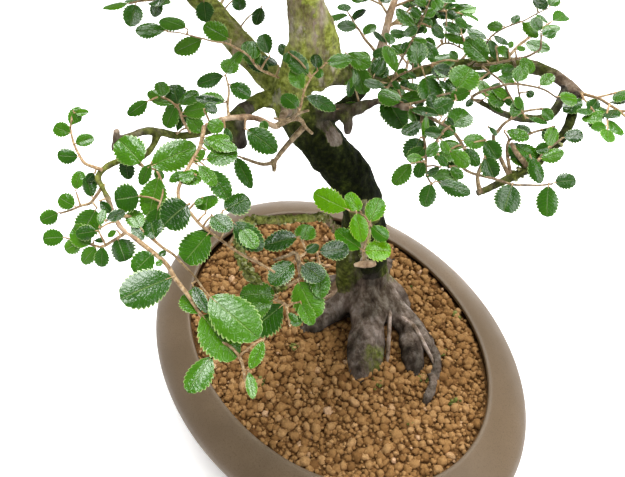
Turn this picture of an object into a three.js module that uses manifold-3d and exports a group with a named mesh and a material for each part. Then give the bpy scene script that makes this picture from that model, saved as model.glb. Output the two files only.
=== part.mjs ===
// A small-leaved zelkova grown as a bonsai, in an oval unglazed pot.
// Millimetres, +Z up. The pot's long axis lies along X.
// The tree is laid out in its own frame: X to the right and Y away as the tree's front is seen,
// with Z measured from the pot's rim. That front is turned against the pot's long axis.
import * as THREE from "three";
import { mergeVertices } from "three/addons/utils/BufferGeometryUtils.js";
import Module from "manifold-3d";

const wasm = await Module();
wasm.setup();

// Pot
const RIM_HEIGHT = 85;
const FOOT_HEIGHT = 8;
const FLOOR_TOP = 16;
const BODY_HALF_LENGTH = 175;
const MOUTH_HALF_LENGTH = 141;
const BODY_ASPECT = 0.764;
const MOUTH_ASPECT = 0.751;
const POT_SIDES = 32;
const FOOT_ANGLE = 0.7;
const FOOT_SPREAD = 0.26;
const FOOT_INNER = 100;
const FOOT_OUTER = 124;
const FOOT_ROOT = 3;
const DRAIN_SPACING = 62;
const DRAIN_RADIUS = 11;

// Mesh screens over the drainage holes
const SCREEN_SIZE = 31;
const SCREEN_THICKNESS = 1.2;
const SCREEN_HOLE = 5;
const SCREEN_HOLES = 3;

// Soil
const CLEARANCE = 0.35;
const SOIL_EDGE = -8;
const SOIL_MOUND = 7;
const MOUND_REACH = 52;
const GRAIN_PITCH = 11.4;
const GRAIN_TOP = 2.4;
const GRAIN_GAP = -1.6;
const GRAIN_SCATTER = 1.1;

// Tree
const TREE_TURN = THREE.MathUtils.degToRad(53.4);
const VIEW_DOWN = THREE.MathUtils.degToRad(50);
const LEAF_THICKNESS = 0.7;
const LEAF_FOLD = 0.16;
const LEAF_SPACE = 0.4;
const TWIG_SPACE = 0.3;
const TWIG_SPACING = 17;
const BRANCH_SPACING = 26;

const MATERIALS = {
  pot: new THREE.MeshStandardMaterial({ color: 0x7b7066, roughness: 0.7, metalness: 0 }),
  screen: new THREE.MeshStandardMaterial({ color: 0x26292b, roughness: 0.6, metalness: 0 }),
  soil: new THREE.MeshStandardMaterial({ color: 0xa9743f, roughness: 0.95, metalness: 0 }),
  bark: new THREE.MeshStandardMaterial({ color: 0x676150, roughness: 0.9, metalness: 0 }),
  leaf: new THREE.MeshStandardMaterial({ color: 0x2f7a24, roughness: 0.35, metalness: 0 }),
  newLeaf: new THREE.MeshStandardMaterial({ color: 0x77c31c, roughness: 0.35, metalness: 0 }),
};

// Wall of the pot from the middle of its underside, round the rim, to the middle of its floor.
const POT_PROFILE = [
  [0, FOOT_HEIGHT],
  [130, FOOT_HEIGHT],
  [145, 18],
  [164, 39],
  [BODY_HALF_LENGTH, 61],
  [171, 69],
  [156, 80],
  [MOUTH_HALF_LENGTH, RIM_HEIGHT],
  [MOUTH_HALF_LENGTH - 2, 82],
  [158, 64],
  [150, 40],
  [124, FLOOR_TOP],
  [0, FLOOR_TOP],
];

// The same inside, as far as the soil fills it.
const SOIL_PROFILE = [
  [0, FLOOR_TOP + CLEARANCE],
  [123.6, FLOOR_TOP + CLEARANCE],
  [149.4, 40.4],
  [157.3, 63.9],
  [138.2, 81.8],
  [138.2, 120],
  [0, 120],
];

// Each limb: route points, and the radius at each point.
const TRUNK = {
  route: [
    [29, 34, -34], [28, 33, -8], [27, 33, 18], [25, 32, 68], [20, 32, 112], [8, 31, 148],
    [-13, 31, 182], [-30, 32, 210], [-29, 33, 234], [-19, 34, 258], [-18, 34, 285],
    [-22, 36, 315], [-16, 34, 345], [-6, 31, 374], [-6, 29, 400], [-12, 27, 424], [-15, 25, 444],
  ],
  radii: [20, 25, 18, 14.8, 14, 13.6, 13.4, 14, 14, 13, 10.6, 9, 7.4, 6, 4.6, 3.2, 1.8],
};

const ROOTS = [
  { route: [[27, 31, 42], [26, 15, 23], [24, -8, 7], [21, -29, -5], [19, -45, -19]], radii: [9, 13, 14.5, 11.5, 6] },
  { route: [[24, 33, 34], [9, 21, 15], [-7, 10, 4], [-21, 3, -7], [-30, -2, -19]], radii: [9, 12, 12.5, 9, 4] },
  { route: [[24, 35, 28], [6, 41, 8], [-14, 49, -4], [-34, 56, -17]], radii: [8, 10, 7.5, 3.5] },
  { route: [[33, 31, 32], [47, 17, 13], [57, -3, 5], [62, -20, -2], [67, -35, -14]], radii: [8, 10, 10, 10, 5] },
  { route: [[36, 28, 22], [60, 9, 8], [72, -9, 3], [80, -26, -2], [76, -54, -17]], radii: [6, 5.5, 4.5, 4.5, 2.5] },
  { route: [[30, 38, 26], [38, 58, 4], [48, 75, -7], [58, 90, -19]], radii: [8, 10, 6.5, 3] },
];

const BRANCHES = {
  right_front: {
    route: [[-12, 30, 205], [6, 26, 210], [23, 18, 224], [36, 0, 235], [47, -10, 238]],
    radii: [6, 5, 3.6, 2.4, 1.9],
  },
  right_stub: { route: [[8, 25, 212], [11, 24, 202], [12, 23, 194]], radii: [4, 3, 2.2] },
  back_left: {
    route: [[-30, 34, 212], [-55, 55, 228], [-89, 90, 248], [-120, 118, 264], [-150, 134, 272]],
    radii: [9.5, 8.5, 7.5, 5.5, 3],
  },
  left: {
    route: [
      [-36, 28, 203], [-62, 14, 208], [-89, -5, 220], [-111, -15, 231], [-121, -28, 233],
      [-133, -50, 232], [-126, -65, 229], [-118, -81, 224], [-108, -89, 222],
    ],
    radii: [7, 6, 5, 4.5, 3.6, 2.5, 2.3, 2.1, 1.9],
  },
  left_stub: { route: [[-115, -20, 232], [-125, -26, 235], [-131, -28, 233]], radii: [3.8, 3.4, 3.2] },
  front: {
    route: [
      [-30, 25, 210], [-33, 0, 232], [-36, -32, 249], [-48, -33, 256], [-63, -37, 259], [-73, -44, 260],
    ],
    radii: [4.5, 3, 2.3, 2.3, 2, 1.8],
  },
  low_left: {
    route: [
      [14, 26, 98], [-10, 11, 129], [-38, -11, 150], [-58, -32, 171], [-59, -63, 178], [-52, -81, 182],
      [-43, -92, 182], [-31, -93, 187],
    ],
    radii: [6, 4.5, 4, 3.6, 3.2, 3, 2.4, 1.8],
  },
  low_front: { route: [[20, 24, 112], [18, -14, 146], [14, -54, 174], [12, -79, 187]], radii: [5, 4, 3.4, 3.2] },
  right_back: {
    route: [
      [-24, 33, 224], [8, 41, 218], [34, 47, 218], [58, 55, 219], [86, 54, 224], [109, 46, 230],
      [126, 29, 236], [140, 8, 236],
    ],
    radii: [8, 6.5, 6, 5.4, 5, 4.8, 4.4, 3.4],
  },
  right_back_low: {
    route: [[138, 11, 236], [126, -18, 232], [108, -34, 223], [95, -39, 217], [76, -45, 210]],
    radii: [3.2, 3, 3, 2.6, 2],
  },
  right_back_mid: { route: [[134, 18, 236], [120, -2, 230], [98, -2, 230], [78, 5, 236]], radii: [3, 2.8, 2.4, 1.6] },
  back_low: {
    route: [[-4, 36, 186], [15, 68, 190], [29, 100, 195], [38, 128, 212], [47, 148, 224]],
    radii: [7, 5.5, 4.5, 3.4, 2],
  },
  left_high: { route: [[-20, 34, 290], [-60, 40, 310], [-104, 45, 320], [-140, 48, 322]], radii: [6.5, 4.6, 3.4, 1.8] },
  right_high: { route: [[-20, 35, 308], [25, 42, 326], [70, 48, 334], [106, 52, 336]], radii: [6, 4.4, 3.2, 1.8] },
  back_high: { route: [[-18, 38, 268], [-14, 80, 286], [-8, 122, 294], [-2, 156, 292]], radii: [6.5, 4.8, 3.6, 1.8] },
  back_right_high: { route: [[-18, 36, 326], [20, 72, 344], [54, 102, 350]], radii: [5, 3.6, 1.8] },
  front_high: { route: [[-15, 32, 350], [-20, -10, 372], [-28, -48, 386], [-34, -80, 390]], radii: [4.8, 3.6, 2.8, 1.6] },
  back_left_high: { route: [[-16, 34, 342], [-50, 64, 360], [-84, 88, 366]], radii: [4.6, 3.4, 1.8] },
  right_front_high: { route: [[-7, 31, 370], [24, 6, 388], [54, -18, 394]], radii: [4, 3, 1.6] },
  left_top: { route: [[-6, 30, 384], [-38, 22, 402], [-68, 14, 408]], radii: [3.6, 2.8, 1.6] },
};

// Shoots seen from the front. Each leaf is [place along the twig, heading, length, width over length].
// The heading is in degrees, anticlockwise from the right, as seen when looking down on the tree.
const FRONT_SHOOTS = {
  left_front: {
    radius: 1.8,
    route: [
      [-108, -89, 222], [-94, -100, 219], [-84, -112, 213], [-73, -125, 205], [-66, -135, 199],
      [-57, -139, 197], [-51, -146, 192], [-48, -154, 186],
    ],
    leaves: [
      [0.26, 202, 31, 0.47], [0.42, -50, 29, 0.53], [0.56, -118, 26, 0.5], [0.1, -140, 16, 0.54],
      [0.5, 150, 13, 0.45], [0.93, -85, 13, 0.5], [0.8, 62, 15, 0.45],
    ],
  },
  left_second: {
    radius: 1.5,
    route: [
      [-120, -77, 226], [-115, -71, 220], [-108, -78, 217], [-96, -88, 215], [-86, -97, 215],
      [-76, -108, 212], [-68, -119, 211],
    ],
    leaves: [[1, -45, 32, 0.72], [0.8, -65, 14, 0.45], [0.45, 105, 15, 0.69], [0.34, 118, 12, 0.68]],
  },
  left_edge: {
    radius: 1.4,
    route: [[-114, -85, 223], [-125, -84, 213], [-132, -83, 209], [-139, -80, 209], [-150, -77, 209]],
    leaves: [[0.5, -135, 13, 0.57], [0.38, -95, 12, 0.59], [0.6, 145, 14, 0.8], [1, 180, 12, 0.7]],
  },
  left_outer: {
    radius: 1.5,
    route: [[-129, -57, 230], [-137, -59, 219], [-146, -59, 214], [-157, -59, 209]],
    leaves: [[0.43, -125, 15, 0.71], [0.3, 110, 13, 0.6], [0.7, 150, 11, 0.75], [1, 205, 12, 0.64]],
  },
  left_tall: {
    radius: 1.6,
    route: [[-131, -48, 232], [-138, -45, 232], [-144, -39, 231], [-149, -30, 233], [-152, -21, 238]],
    leaves: [[0.75, 25, 11, 0.61], [0.9, 155, 11, 0.7], [1, 65, 12, 0.56], [0.54, 180, 12, 0.64]],
  },
  left_upper: {
    radius: 1.3,
    route: [[-120, -29, 233], [-114, -42, 234], [-107, -48, 234], [-101, -51, 234], [-97, -58, 230], [-99, -68, 224]],
    leaves: [[0.36, 130, 19, 0.78], [0.56, 25, 27, 0.48], [0.16, -70, 11, 0.69], [0.68, -105, 23, 0.57], [1, -100, 16, 0.66], [0.85, 215, 13, 0.85]],
  },
  hanging: {
    radius: 1.7,
    route: [
      [-73, -44, 260], [-74, -52, 257], [-77, -59, 253], [-81, -67, 251], [-84, -74, 247], [-85, -79, 244],
      [-79, -86, 240], [-72, -92, 236], [-58, -100, 229], [-47, -104, 224], [-36, -108, 219],
    ],
    leaves: [
      [0.57, -135, 16, 0.82], [0.7, 118, 13, 0.75], [0.75, 40, 15, 0.83], [0.4, 40, 11, 0.71],
      [0.27, -45, 18, 0.63], [0.2, 12, 15, 0.6], [0.12, 0, 14, 0.66], [0.77, -120, 14, 0.99], [0.9, 120, 13, 0.78],
      [1, -20, 14, 0.62],
    ],
  },
  front_up: {
    radius: 1.2,
    route: [[-61, -36, 259], [-62, -30, 262], [-61, -23, 266], [-63, -16, 270]],
    leaves: [[1, 70, 9, 0.98], [0.8, -30, 13, 0.61], [0.95, 195, 17, 0.46], [0.4, 170, 14, 0.54]],
  },
  front_right: {
    radius: 1.1,
    route: [[-38, -21, 245], [-31, -28, 250], [-25, -25, 251], [-23, -14, 252], [-19, -1, 255], [-15, 6, 255], [-10, 12, 256]],
    leaves: [[0.69, 130, 19, 0.49], [0.39, 130, 14, 0.59], [0.53, -20, 19, 0.43], [1, 10, 15, 0.53], [0.86, 90, 11, 0.6]],
  },
  left_fine: {
    radius: 1,
    route: [[-34, 31, 230], [-47, 21, 245], [-56, 24, 255], [-66, 22, 263], [-77, 20, 267], [-88, 20, 271], [-98, 19, 273]],
    leaves: [
      [1, 195, 17, 0.47], [0.84, 135, 20, 0.48], [0.68, 205, 18, 0.47], [0.5, 140, 19, 0.43], [0.34, 215, 11, 0.62],
      [0.18, 120, 18, 0.53],
    ],
  },
  left_cluster: {
    radius: 1.3,
    route: [[-89, -5, 220], [-92, -6, 230], [-93, -6, 239], [-98, -5, 244], [-103, -4, 246]],
    leaves: [[0.5, 100, 13, 0.89], [0.28, 135, 11, 0.82], [0.38, 10, 17, 0.54], [1, 205, 15, 0.53], [0.55, 35, 14, 0.53]],
  },
  middle_left: {
    radius: 1.3,
    route: [[-38, -93, 184], [-32, -86, 193], [-24, -80, 196], [-21, -77, 197], [-22, -72, 199], [-24, -69, 200]],
    leaves: [[1, 190, 19, 0.57], [0.81, 80, 11, 0.88], [0.55, 40, 9, 0.55], [0.36, -125, 13, 0.62]],
  },
  middle_right: {
    radius: 1.2,
    route: [[-33, -93, 187], [-26, -92, 190], [-19, -86, 193], [-13, -82, 193], [-10, -82, 192]],
    leaves: [[0.9, 15, 15, 0.67], [0.5, -82, 14, 0.75], [0.74, -90, 18, 0.53], [0.28, -58, 20, 0.64]],
  },
  middle_low: {
    radius: 1.3,
    route: [[-44, -92, 182], [-38, -98, 182], [-32, -103, 184], [-30, -111, 184], [-29, -116, 182]],
    leaves: [[0.29, -155, 21, 0.53], [0.59, -143, 22, 0.58], [0.78, -20, 13, 0.43], [1, 45, 8, 0.6]],
  },
  right_drop: {
    radius: 1.5,
    route: [
      [46, -9, 238], [55, -16, 237], [64, -22, 233], [69, -29, 226], [68, -36, 220], [77, -39, 219],
      [86, -43, 219], [97, -46, 218], [107, -47, 219], [116, -47, 220],
    ],
    leaves: [
      [0.16, 45, 15, 0.73], [0.08, 95, 14, 0.55], [0.26, -5, 13, 0.65], [0.34, 190, 18, 0.36],
      [0.56, 100, 18, 0.58], [0.74, -110, 18, 0.79], [0.94, -92, 18, 0.47], [0.8, 45, 13, 0.57],
      [1, 10, 12, 0.67],
    ],
  },
  right_lower: {
    radius: 1.4,
    route: [[45, -8, 238], [46, -22, 230], [47, -32, 224], [47, -39, 219], [50, -44, 216]],
    leaves: [
      [0.55, -130, 16, 0.51], [0.95, -105, 14, 0.61], [1, -15, 17, 0.46], [0.8, 5, 15, 0.4],
      [0.3, 150, 15, 0.62], [0.45, 190, 16, 0.54],
    ],
  },
  right_middle: {
    radius: 1.3,
    route: [[24, 17, 225], [30, 22, 236], [40, 22, 244], [52, 20, 250]],
    leaves: [[0.3, -62, 21, 0.47], [0.45, 110, 19, 0.4], [0.7, -50, 21, 0.38], [0.8, 95, 15, 0.74], [1, 20, 15, 0.6], [0.2, 165, 14, 0.45]],
  },
  right_fork: {
    radius: 1.5,
    route: [[104, -36, 222], [107, -37, 227], [113, -32, 231], [121, -28, 236]],
    leaves: [[0.3, -75, 17, 0.49], [0.4, 10, 14, 0.5], [0.7, 75, 12, 0.61], [1, 10, 11, 0.69]],
  },
  right_arc: {
    radius: 1.4,
    route: [[80, 4, 236], [74, 2, 240], [84, 3, 246], [97, 2, 250], [110, -1, 250], [120, -6, 247]],
    leaves: [[0.22, 140, 18, 0.72], [0.4, -20, 14, 0.5], [0.6, 60, 12, 0.65], [1, 0, 12, 0.65]],
  },
  right_tan: {
    radius: 1.4,
    route: [[88, 54, 224], [82, 38, 235], [98, 32, 243], [111, 31, 248], [117, 33, 252], [117, 39, 258]],
    leaves: [[0.3, 125, 21, 0.57], [0.5, -50, 12, 0.63], [0.94, 30, 10, 0.71], [1, 115, 10, 0.66]],
  },
  right_thin: {
    radius: 1,
    route: [[80, 54, 223], [84, 44, 236], [93, 51, 249], [108, 53, 256], [124, 58, 262]],
    leaves: [[0.6, 170, 10, 0.6], [0.74, -40, 14, 0.43], [1, 50, 9, 0.77], [0.32, 125, 11, 0.7]],
  },
  right_upright: {
    radius: 1,
    route: [[34, 47, 218], [34, 44, 224], [41, 49, 239], [46, 52, 250], [52, 59, 261]],
    leaves: [[0.74, 130, 18, 0.4], [0.52, 155, 12, 0.5], [0.6, -10, 10, 0.74], [0.9, 40, 9, 0.64]],
  },
  new_shoot: {
    radius: 1.1,
    fresh: true,
    route: [[12, -78, 187], [11, -74, 194], [13, -70, 199], [15, -66, 205], [12, -64, 210], [9, -62, 213], [3, -62, 214]],
    leaves: [
      [1, 155, 21, 0.43], [0.8, 128, 12, 0.54], [0.55, 65, 14, 0.68], [0.76, -95, 16, 0.55], [0.5, -45, 12, 0.55],
      [0.24, 145, 19, 0.48], [0.15, 5, 13, 0.79],
    ],
  },
};

// Shoots on the rest of the crown: branch, place along it, side, and length. Side 0 carries the branch on.
const CROWN_SHOOTS = [
  ["back_left", 0.5, 1, 44], ["back_left", 0.66, -1, 48], ["back_left", 0.84, 1, 44], ["back_left", 0.96, 0, 42],
  ["back_low", 0.5, 1, 42], ["back_low", 0.66, -1, 44], ["back_low", 0.97, 0, 42],
  ["right_back", 0.97, 0, 40], ["right_back", 0.66, 1, 44],
  ["left_high", 0.45, 1, 44], ["left_high", 0.7, -1, 44], ["left_high", 0.97, 0, 40],
  ["right_high", 0.45, 1, 44], ["right_high", 0.7, -1, 44], ["right_high", 0.97, 0, 40],
  ["back_high", 0.5, -1, 44], ["back_high", 0.72, 1, 42], ["back_high", 0.97, 0, 38],
  ["back_right_high", 0.55, 1, 40], ["back_right_high", 0.96, 0, 40],
  ["front_high", 0.5, 1, 38], ["front_high", 0.72, -1, 38], ["front_high", 0.97, 0, 34],
  ["back_left_high", 0.6, -1, 38], ["back_left_high", 0.96, 0, 38],
  ["right_front_high", 0.96, 0, 36], ["left_top", 0.96, 0, 36],
  ["trunk", 0.92, 1, 38], ["trunk", 0.985, 0, 34],
];

// Outline of a leaf's half: share of the length, share of the half width. Teeth stand out between notches.
const LEAF_EDGE = [
  [0.22, 0.74],
  [0.43, 1.04],
  [0.53, 0.76],
  [0.75, 0.72],
];
const SMALL_LEAF_EDGE = [
  [0.3, 0.85],
  [0.55, 1.02],
  [0.64, 0.7],
];
const SMALL_LEAF = 12.5;

// A repeatable number from 0 to 1 for each pair of indices.
function scatter(i, j) {
  const s = Math.sin(i * 127.1 + j * 311.7) * 43758.5453;
  return s - Math.floor(s);
}

// The geometry's closed surface as a solid that can be joined and cut.
function solidOf(geometry) {
  const bare = new THREE.BufferGeometry();
  bare.setAttribute("position", geometry.getAttribute("position"));
  bare.setIndex(geometry.index);
  const merged = mergeVertices(bare, 1e-4);
  return new wasm.Manifold(
    new wasm.Mesh({
      numProp: 3,
      vertProperties: new Float32Array(merged.attributes.position.array),
      triVerts: new Uint32Array(merged.index.array),
    }),
  );
}

function meshOf(solid, name, material) {
  const made = solid.getMesh();
  const geometry = new THREE.BufferGeometry();
  geometry.setAttribute("position", new THREE.BufferAttribute(new Float32Array(made.vertProperties), 3));
  geometry.setIndex(new THREE.BufferAttribute(new Uint32Array(made.triVerts), 1));
  geometry.computeVertexNormals();
  const mesh = new THREE.Mesh(geometry, material);
  mesh.name = name;
  return mesh;
}

// A turned profile, drawn in to an oval that is a little rounder at the body than at the mouth.
function ovalTurned(profile) {
  const points = profile.map(([r, z]) => new THREE.Vector2(r, z));
  const geometry = new THREE.LatheGeometry(points, POT_SIDES);
  geometry.rotateX(Math.PI / 2);
  const position = geometry.getAttribute("position");
  for (let i = 0; i < position.count; i++) {
    const r = Math.hypot(position.getX(i), position.getY(i));
    const share = (r - MOUTH_HALF_LENGTH) / (BODY_HALF_LENGTH - MOUTH_HALF_LENGTH);
    const aspect = THREE.MathUtils.lerp(MOUTH_ASPECT, BODY_ASPECT, THREE.MathUtils.clamp(share, 0, 1));
    position.setY(i, position.getY(i) * aspect);
  }
  return geometry;
}

function potFoot(angle) {
  const shape = new THREE.Shape();
  shape.absarc(0, 0, FOOT_OUTER, angle - FOOT_SPREAD, angle + FOOT_SPREAD, false);
  shape.absarc(0, 0, FOOT_INNER, angle + FOOT_SPREAD, angle - FOOT_SPREAD, true);
  const options = { depth: FOOT_HEIGHT + FOOT_ROOT, bevelEnabled: false, curveSegments: 4 };
  return new THREE.ExtrudeGeometry(shape, options).scale(1, MOUTH_ASPECT, 1);
}

function drain(x) {
  const hole = new THREE.CylinderGeometry(DRAIN_RADIUS, DRAIN_RADIUS, FLOOR_TOP * 2, 20);
  return hole.rotateX(Math.PI / 2).translate(x, 0, FLOOR_TOP);
}

function makePot() {
  let pot = solidOf(ovalTurned(POT_PROFILE));
  for (const angle of [FOOT_ANGLE, Math.PI - FOOT_ANGLE, Math.PI + FOOT_ANGLE, -FOOT_ANGLE]) {
    pot = pot.add(solidOf(potFoot(angle)));
  }
  for (const x of [-DRAIN_SPACING, DRAIN_SPACING]) {
    pot = pot.subtract(solidOf(drain(x)));
  }
  return pot;
}

function makeScreen(x) {
  const bottom = FLOOR_TOP + CLEARANCE;
  const pitch = SCREEN_SIZE / (SCREEN_HOLES + 0.6);
  const middle = (SCREEN_HOLES - 1) / 2;
  const plate = new THREE.BoxGeometry(SCREEN_SIZE, SCREEN_SIZE, SCREEN_THICKNESS);
  let screen = solidOf(plate.translate(x, 0, bottom + SCREEN_THICKNESS / 2));
  for (let i = 0; i < SCREEN_HOLES; i++) {
    for (let j = 0; j < SCREEN_HOLES; j++) {
      const hole = new THREE.BoxGeometry(SCREEN_HOLE, SCREEN_HOLE, SCREEN_THICKNESS * 4);
      screen = screen.subtract(solidOf(hole.translate(x + (i - middle) * pitch, (j - middle) * pitch, bottom)));
    }
  }
  return screen;
}

// Points of a route in the tree's frame, and the curve through them.
function curveOf(route) {
  const points = route.map(([x, y, z]) => new THREE.Vector3(x, y, z));
  return new THREE.CatmullRomCurve3(points, false, "catmullrom", 0.5);
}

function radiusAt(radii, t) {
  const place = t * (radii.length - 1);
  const i = Math.min(Math.floor(place), radii.length - 2);
  return THREE.MathUtils.lerp(radii[i], radii[i + 1], place - i);
}

// A closed round limb along a route. Bark relief swells and pinches its sides.
function limb({ route, radii }, sides, steps, grow = 0, relief = 0) {
  const curve = curveOf(route);
  const geometry = new THREE.CylinderGeometry(1, 1, 1, sides, steps);
  const position = geometry.getAttribute("position");
  const rings = [];
  let across = new THREE.Vector3(1, 0, 0);
  for (let k = 0; k <= steps; k++) {
    const along = curve.getTangent(k / steps);
    if (k === 0 && Math.abs(along.x) > 0.9) across = new THREE.Vector3(0, 1, 0);
    across = across.clone().addScaledVector(along, -across.dot(along)).normalize();
    rings.push({ centre: curve.getPoint(k / steps), across, up: across.clone().cross(along) });
  }
  for (let i = 0; i < position.count; i++) {
    const x = position.getX(i);
    const z = position.getZ(i);
    const k = Math.round((position.getY(i) + 0.5) * steps);
    const ring = rings[k];
    const turn = Math.atan2(z, x);
    const ridges = Math.sin(turn * 3 + k * 0.35) + 0.7 * Math.sin(turn * 5 - k * 0.8);
    const radius = radiusAt(radii, k / steps) * (1 + relief * ridges) + grow;
    const point = ring.centre.clone().addScaledVector(ring.across, x * radius).addScaledVector(ring.up, z * radius);
    position.setXYZ(i, point.x, point.y, point.z);
  }
  return geometry;
}

function stepsFor(route, spacing) {
  return Math.max(2, Math.round(curveOf(route).getLength() / spacing));
}

// The point on a twig's axis as it is built, which runs straight from ring to ring.
function pointOnTwig(route, place) {
  const steps = stepsFor(route, TWIG_SPACING);
  const curve = curveOf(route);
  const k = Math.min(Math.floor(place * steps), steps - 1);
  return curve.getPoint(k / steps).lerp(curve.getPoint((k + 1) / steps), place * steps - k);
}

// All the wood that grew as one piece, optionally grown by a margin to cut its own socket.
function makeWood(grow = 0) {
  const pieces = [solidOf(limb(TRUNK, 10, 26, grow, 0.05))];
  for (const root of ROOTS) {
    pieces.push(solidOf(limb(root, 6, 5, grow)));
  }
  for (const branch of Object.values(BRANCHES)) {
    const thick = branch.radii[0] > 4.2;
    pieces.push(solidOf(limb(branch, thick ? 6 : 4, stepsFor(branch.route, BRANCH_SPACING), grow)));
  }
  return wasm.Manifold.union(pieces);
}

// Height of the soil's top over the pot's plan, without its grains.
function soilHeight(x, y, trunkFoot) {
  const reach = ((x - trunkFoot.x) ** 2 + (y - trunkFoot.y) ** 2) / (2 * MOUND_REACH ** 2);
  return RIM_HEIGHT + SOIL_EDGE + SOIL_MOUND * Math.exp(-reach);
}

// A block whose top is a bed of six-sided grains: one lattice point in three stands up.
function grainBlock(trunkFoot) {
  const rowPitch = (GRAIN_PITCH * Math.sqrt(3)) / 2;
  const rows = 2 * Math.ceil((BODY_HALF_LENGTH * BODY_ASPECT) / rowPitch);
  const columns = 2 * Math.ceil((BODY_HALF_LENGTH + (rows * GRAIN_PITCH) / 4) / GRAIN_PITCH);
  const geometry = new THREE.BoxGeometry(columns, rows, 1, columns, rows, 1);
  const position = geometry.getAttribute("position");
  for (let n = 0; n < position.count; n++) {
    const i = Math.round(position.getX(n) + columns / 2);
    const j = Math.round(position.getY(n) + rows / 2);
    const sway = GRAIN_SCATTER * 2;
    const x = (i - columns / 2 - (j - rows / 2) / 2) * GRAIN_PITCH + (scatter(i, j) - 0.5) * sway;
    const y = (j - rows / 2) * rowPitch + (scatter(j, i + 7) - 0.5) * sway;
    const crest = (i + j) % 3 === 0;
    const grain = (crest ? GRAIN_TOP : GRAIN_GAP) + (scatter(i + 3, j + 5) - 0.5) * GRAIN_SCATTER;
    const z = position.getZ(n) > 0 ? soilHeight(x, y, trunkFoot) + grain : 0;
    position.setXYZ(n, x, y, z);
  }
  return geometry;
}

const treePlace = new THREE.Matrix4().makeRotationZ(TREE_TURN).setPosition(0, 0, RIM_HEIGHT);

function makeSoil() {
  const trunkFoot = new THREE.Vector3(...TRUNK.route[1]).applyMatrix4(treePlace);
  let soil = solidOf(ovalTurned(SOIL_PROFILE)).intersect(solidOf(grainBlock(trunkFoot)));
  for (const [part, sides, steps, relief] of [[TRUNK, 10, 26, 0.05], ...ROOTS.map((root) => [root, 6, 5, 0])]) {
    const socket = limb(part, sides, steps, CLEARANCE + 0.25, relief).applyMatrix4(treePlace);
    soil = soil.subtract(solidOf(socket));
  }
  const room = SCREEN_SIZE + 2 * CLEARANCE;
  for (const x of [-DRAIN_SPACING, DRAIN_SPACING]) {
    const pocket = new THREE.BoxGeometry(room, room, 2 * (SCREEN_THICKNESS + 2 * CLEARANCE));
    soil = soil.subtract(solidOf(pocket.translate(x, 0, FLOOR_TOP)));
  }
  return soil;
}

// A toothed leaf, folded a little along its midrib, from its foot at base towards the heading.
function leafGeometry({ base, heading, normal, length, aspect }, margin = 0) {
  const half = (length * aspect) / 2 + margin;
  const reach = length + margin;
  const edge = length < SMALL_LEAF ? SMALL_LEAF_EDGE : LEAF_EDGE;
  const rim = [[0, 0]];
  for (const [along, out] of edge) rim.push([along * reach, out * half]);
  rim.push([reach, 0]);
  for (const [along, out] of [...edge].reverse()) rim.push([along * reach, -out * half]);
  const count = rim.length;
  const tip = edge.length + 1;
  const side = normal.clone().cross(heading);
  const lift = LEAF_THICKNESS / 2 + margin;
  const points = [];
  for (const face of [lift, -lift]) {
    for (const [along, out] of rim) {
      const height = face + Math.abs(out) * LEAF_FOLD;
      points.push(
        base.clone().addScaledVector(heading, along).addScaledVector(side, out).addScaledVector(normal, height),
      );
    }
  }
  const faces = [];
  for (let k = 0; k < count; k++) {
    const next = (k + 1) % count;
    faces.push([k, count + next, count + k], [k, next, count + next]);
    if (k === tip || next === tip) continue;
    faces.push([tip, next, k], [count + tip, count + k, count + next]);
  }
  const geometry = new THREE.BufferGeometry().setFromPoints(points);
  geometry.setIndex(faces.flat());
  return geometry;
}

// The leaf's heading and normal, pitched about its width and rolled about its length.
function leafPose(heading, normal, pitch, roll) {
  const side = normal.clone().cross(heading).normalize();
  const pitched = heading.clone().applyAxisAngle(side, pitch).normalize();
  const turned = normal.clone().applyAxisAngle(side, pitch).applyAxisAngle(pitched, roll).normalize();
  return { heading: pitched, normal: turned };
}

const VIEW_RIGHT = new THREE.Vector3(1, 0, 0);
const VIEW_UP = new THREE.Vector3(0, Math.sin(VIEW_DOWN), Math.cos(VIEW_DOWN));
const VIEW_BACK = new THREE.Vector3(0, -Math.cos(VIEW_DOWN), Math.sin(VIEW_DOWN));

function frontLeaves(shoot, index) {
  return shoot.leaves.map(([place, degrees, length, aspect], k) => {
    const angle = THREE.MathUtils.degToRad(degrees);
    const heading = VIEW_RIGHT.clone().multiplyScalar(Math.cos(angle)).addScaledVector(VIEW_UP, Math.sin(angle));
    const pitch = (scatter(index, k) - 0.4) * 0.6;
    const roll = (scatter(index + 50, k) - 0.5) * 0.7;
    return { base: pointOnTwig(shoot.route, place), ...leafPose(heading, VIEW_BACK, pitch, roll), length, aspect };
  });
}

// A crown shoot leaves its branch sideways or carries it on, and rises a little.
function crownShoot([branchName, place, side, length], index) {
  const branch = branchName === "trunk" ? TRUNK : BRANCHES[branchName];
  const curve = curveOf(branch.route);
  const start = curve.getPoint(place);
  const along = curve.getTangent(place);
  const flat = new THREE.Vector3(along.x, along.y, 0);
  if (flat.length() < 0.3) flat.set(Math.cos(index * 2.4), Math.sin(index * 2.4), 0);
  flat.normalize().applyAxisAngle(new THREE.Vector3(0, 0, 1), side * (0.85 + 0.3 * scatter(index, 1)));
  const across = new THREE.Vector3(-flat.y, flat.x, 0);
  const rise = 0.25 + 0.35 * scatter(index, 2);
  const bend = (scatter(index, 3) - 0.5) * 0.5;
  const route = [0, 0.36, 0.7, 1].map((share) => {
    const point = start.clone().addScaledVector(flat, share * length);
    point.addScaledVector(across, bend * share * share * length);
    point.z += rise * share * length * (1 - 0.45 * share);
    return point.toArray();
  });
  return { radius: 1.3, route, leaves: [] };
}

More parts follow.
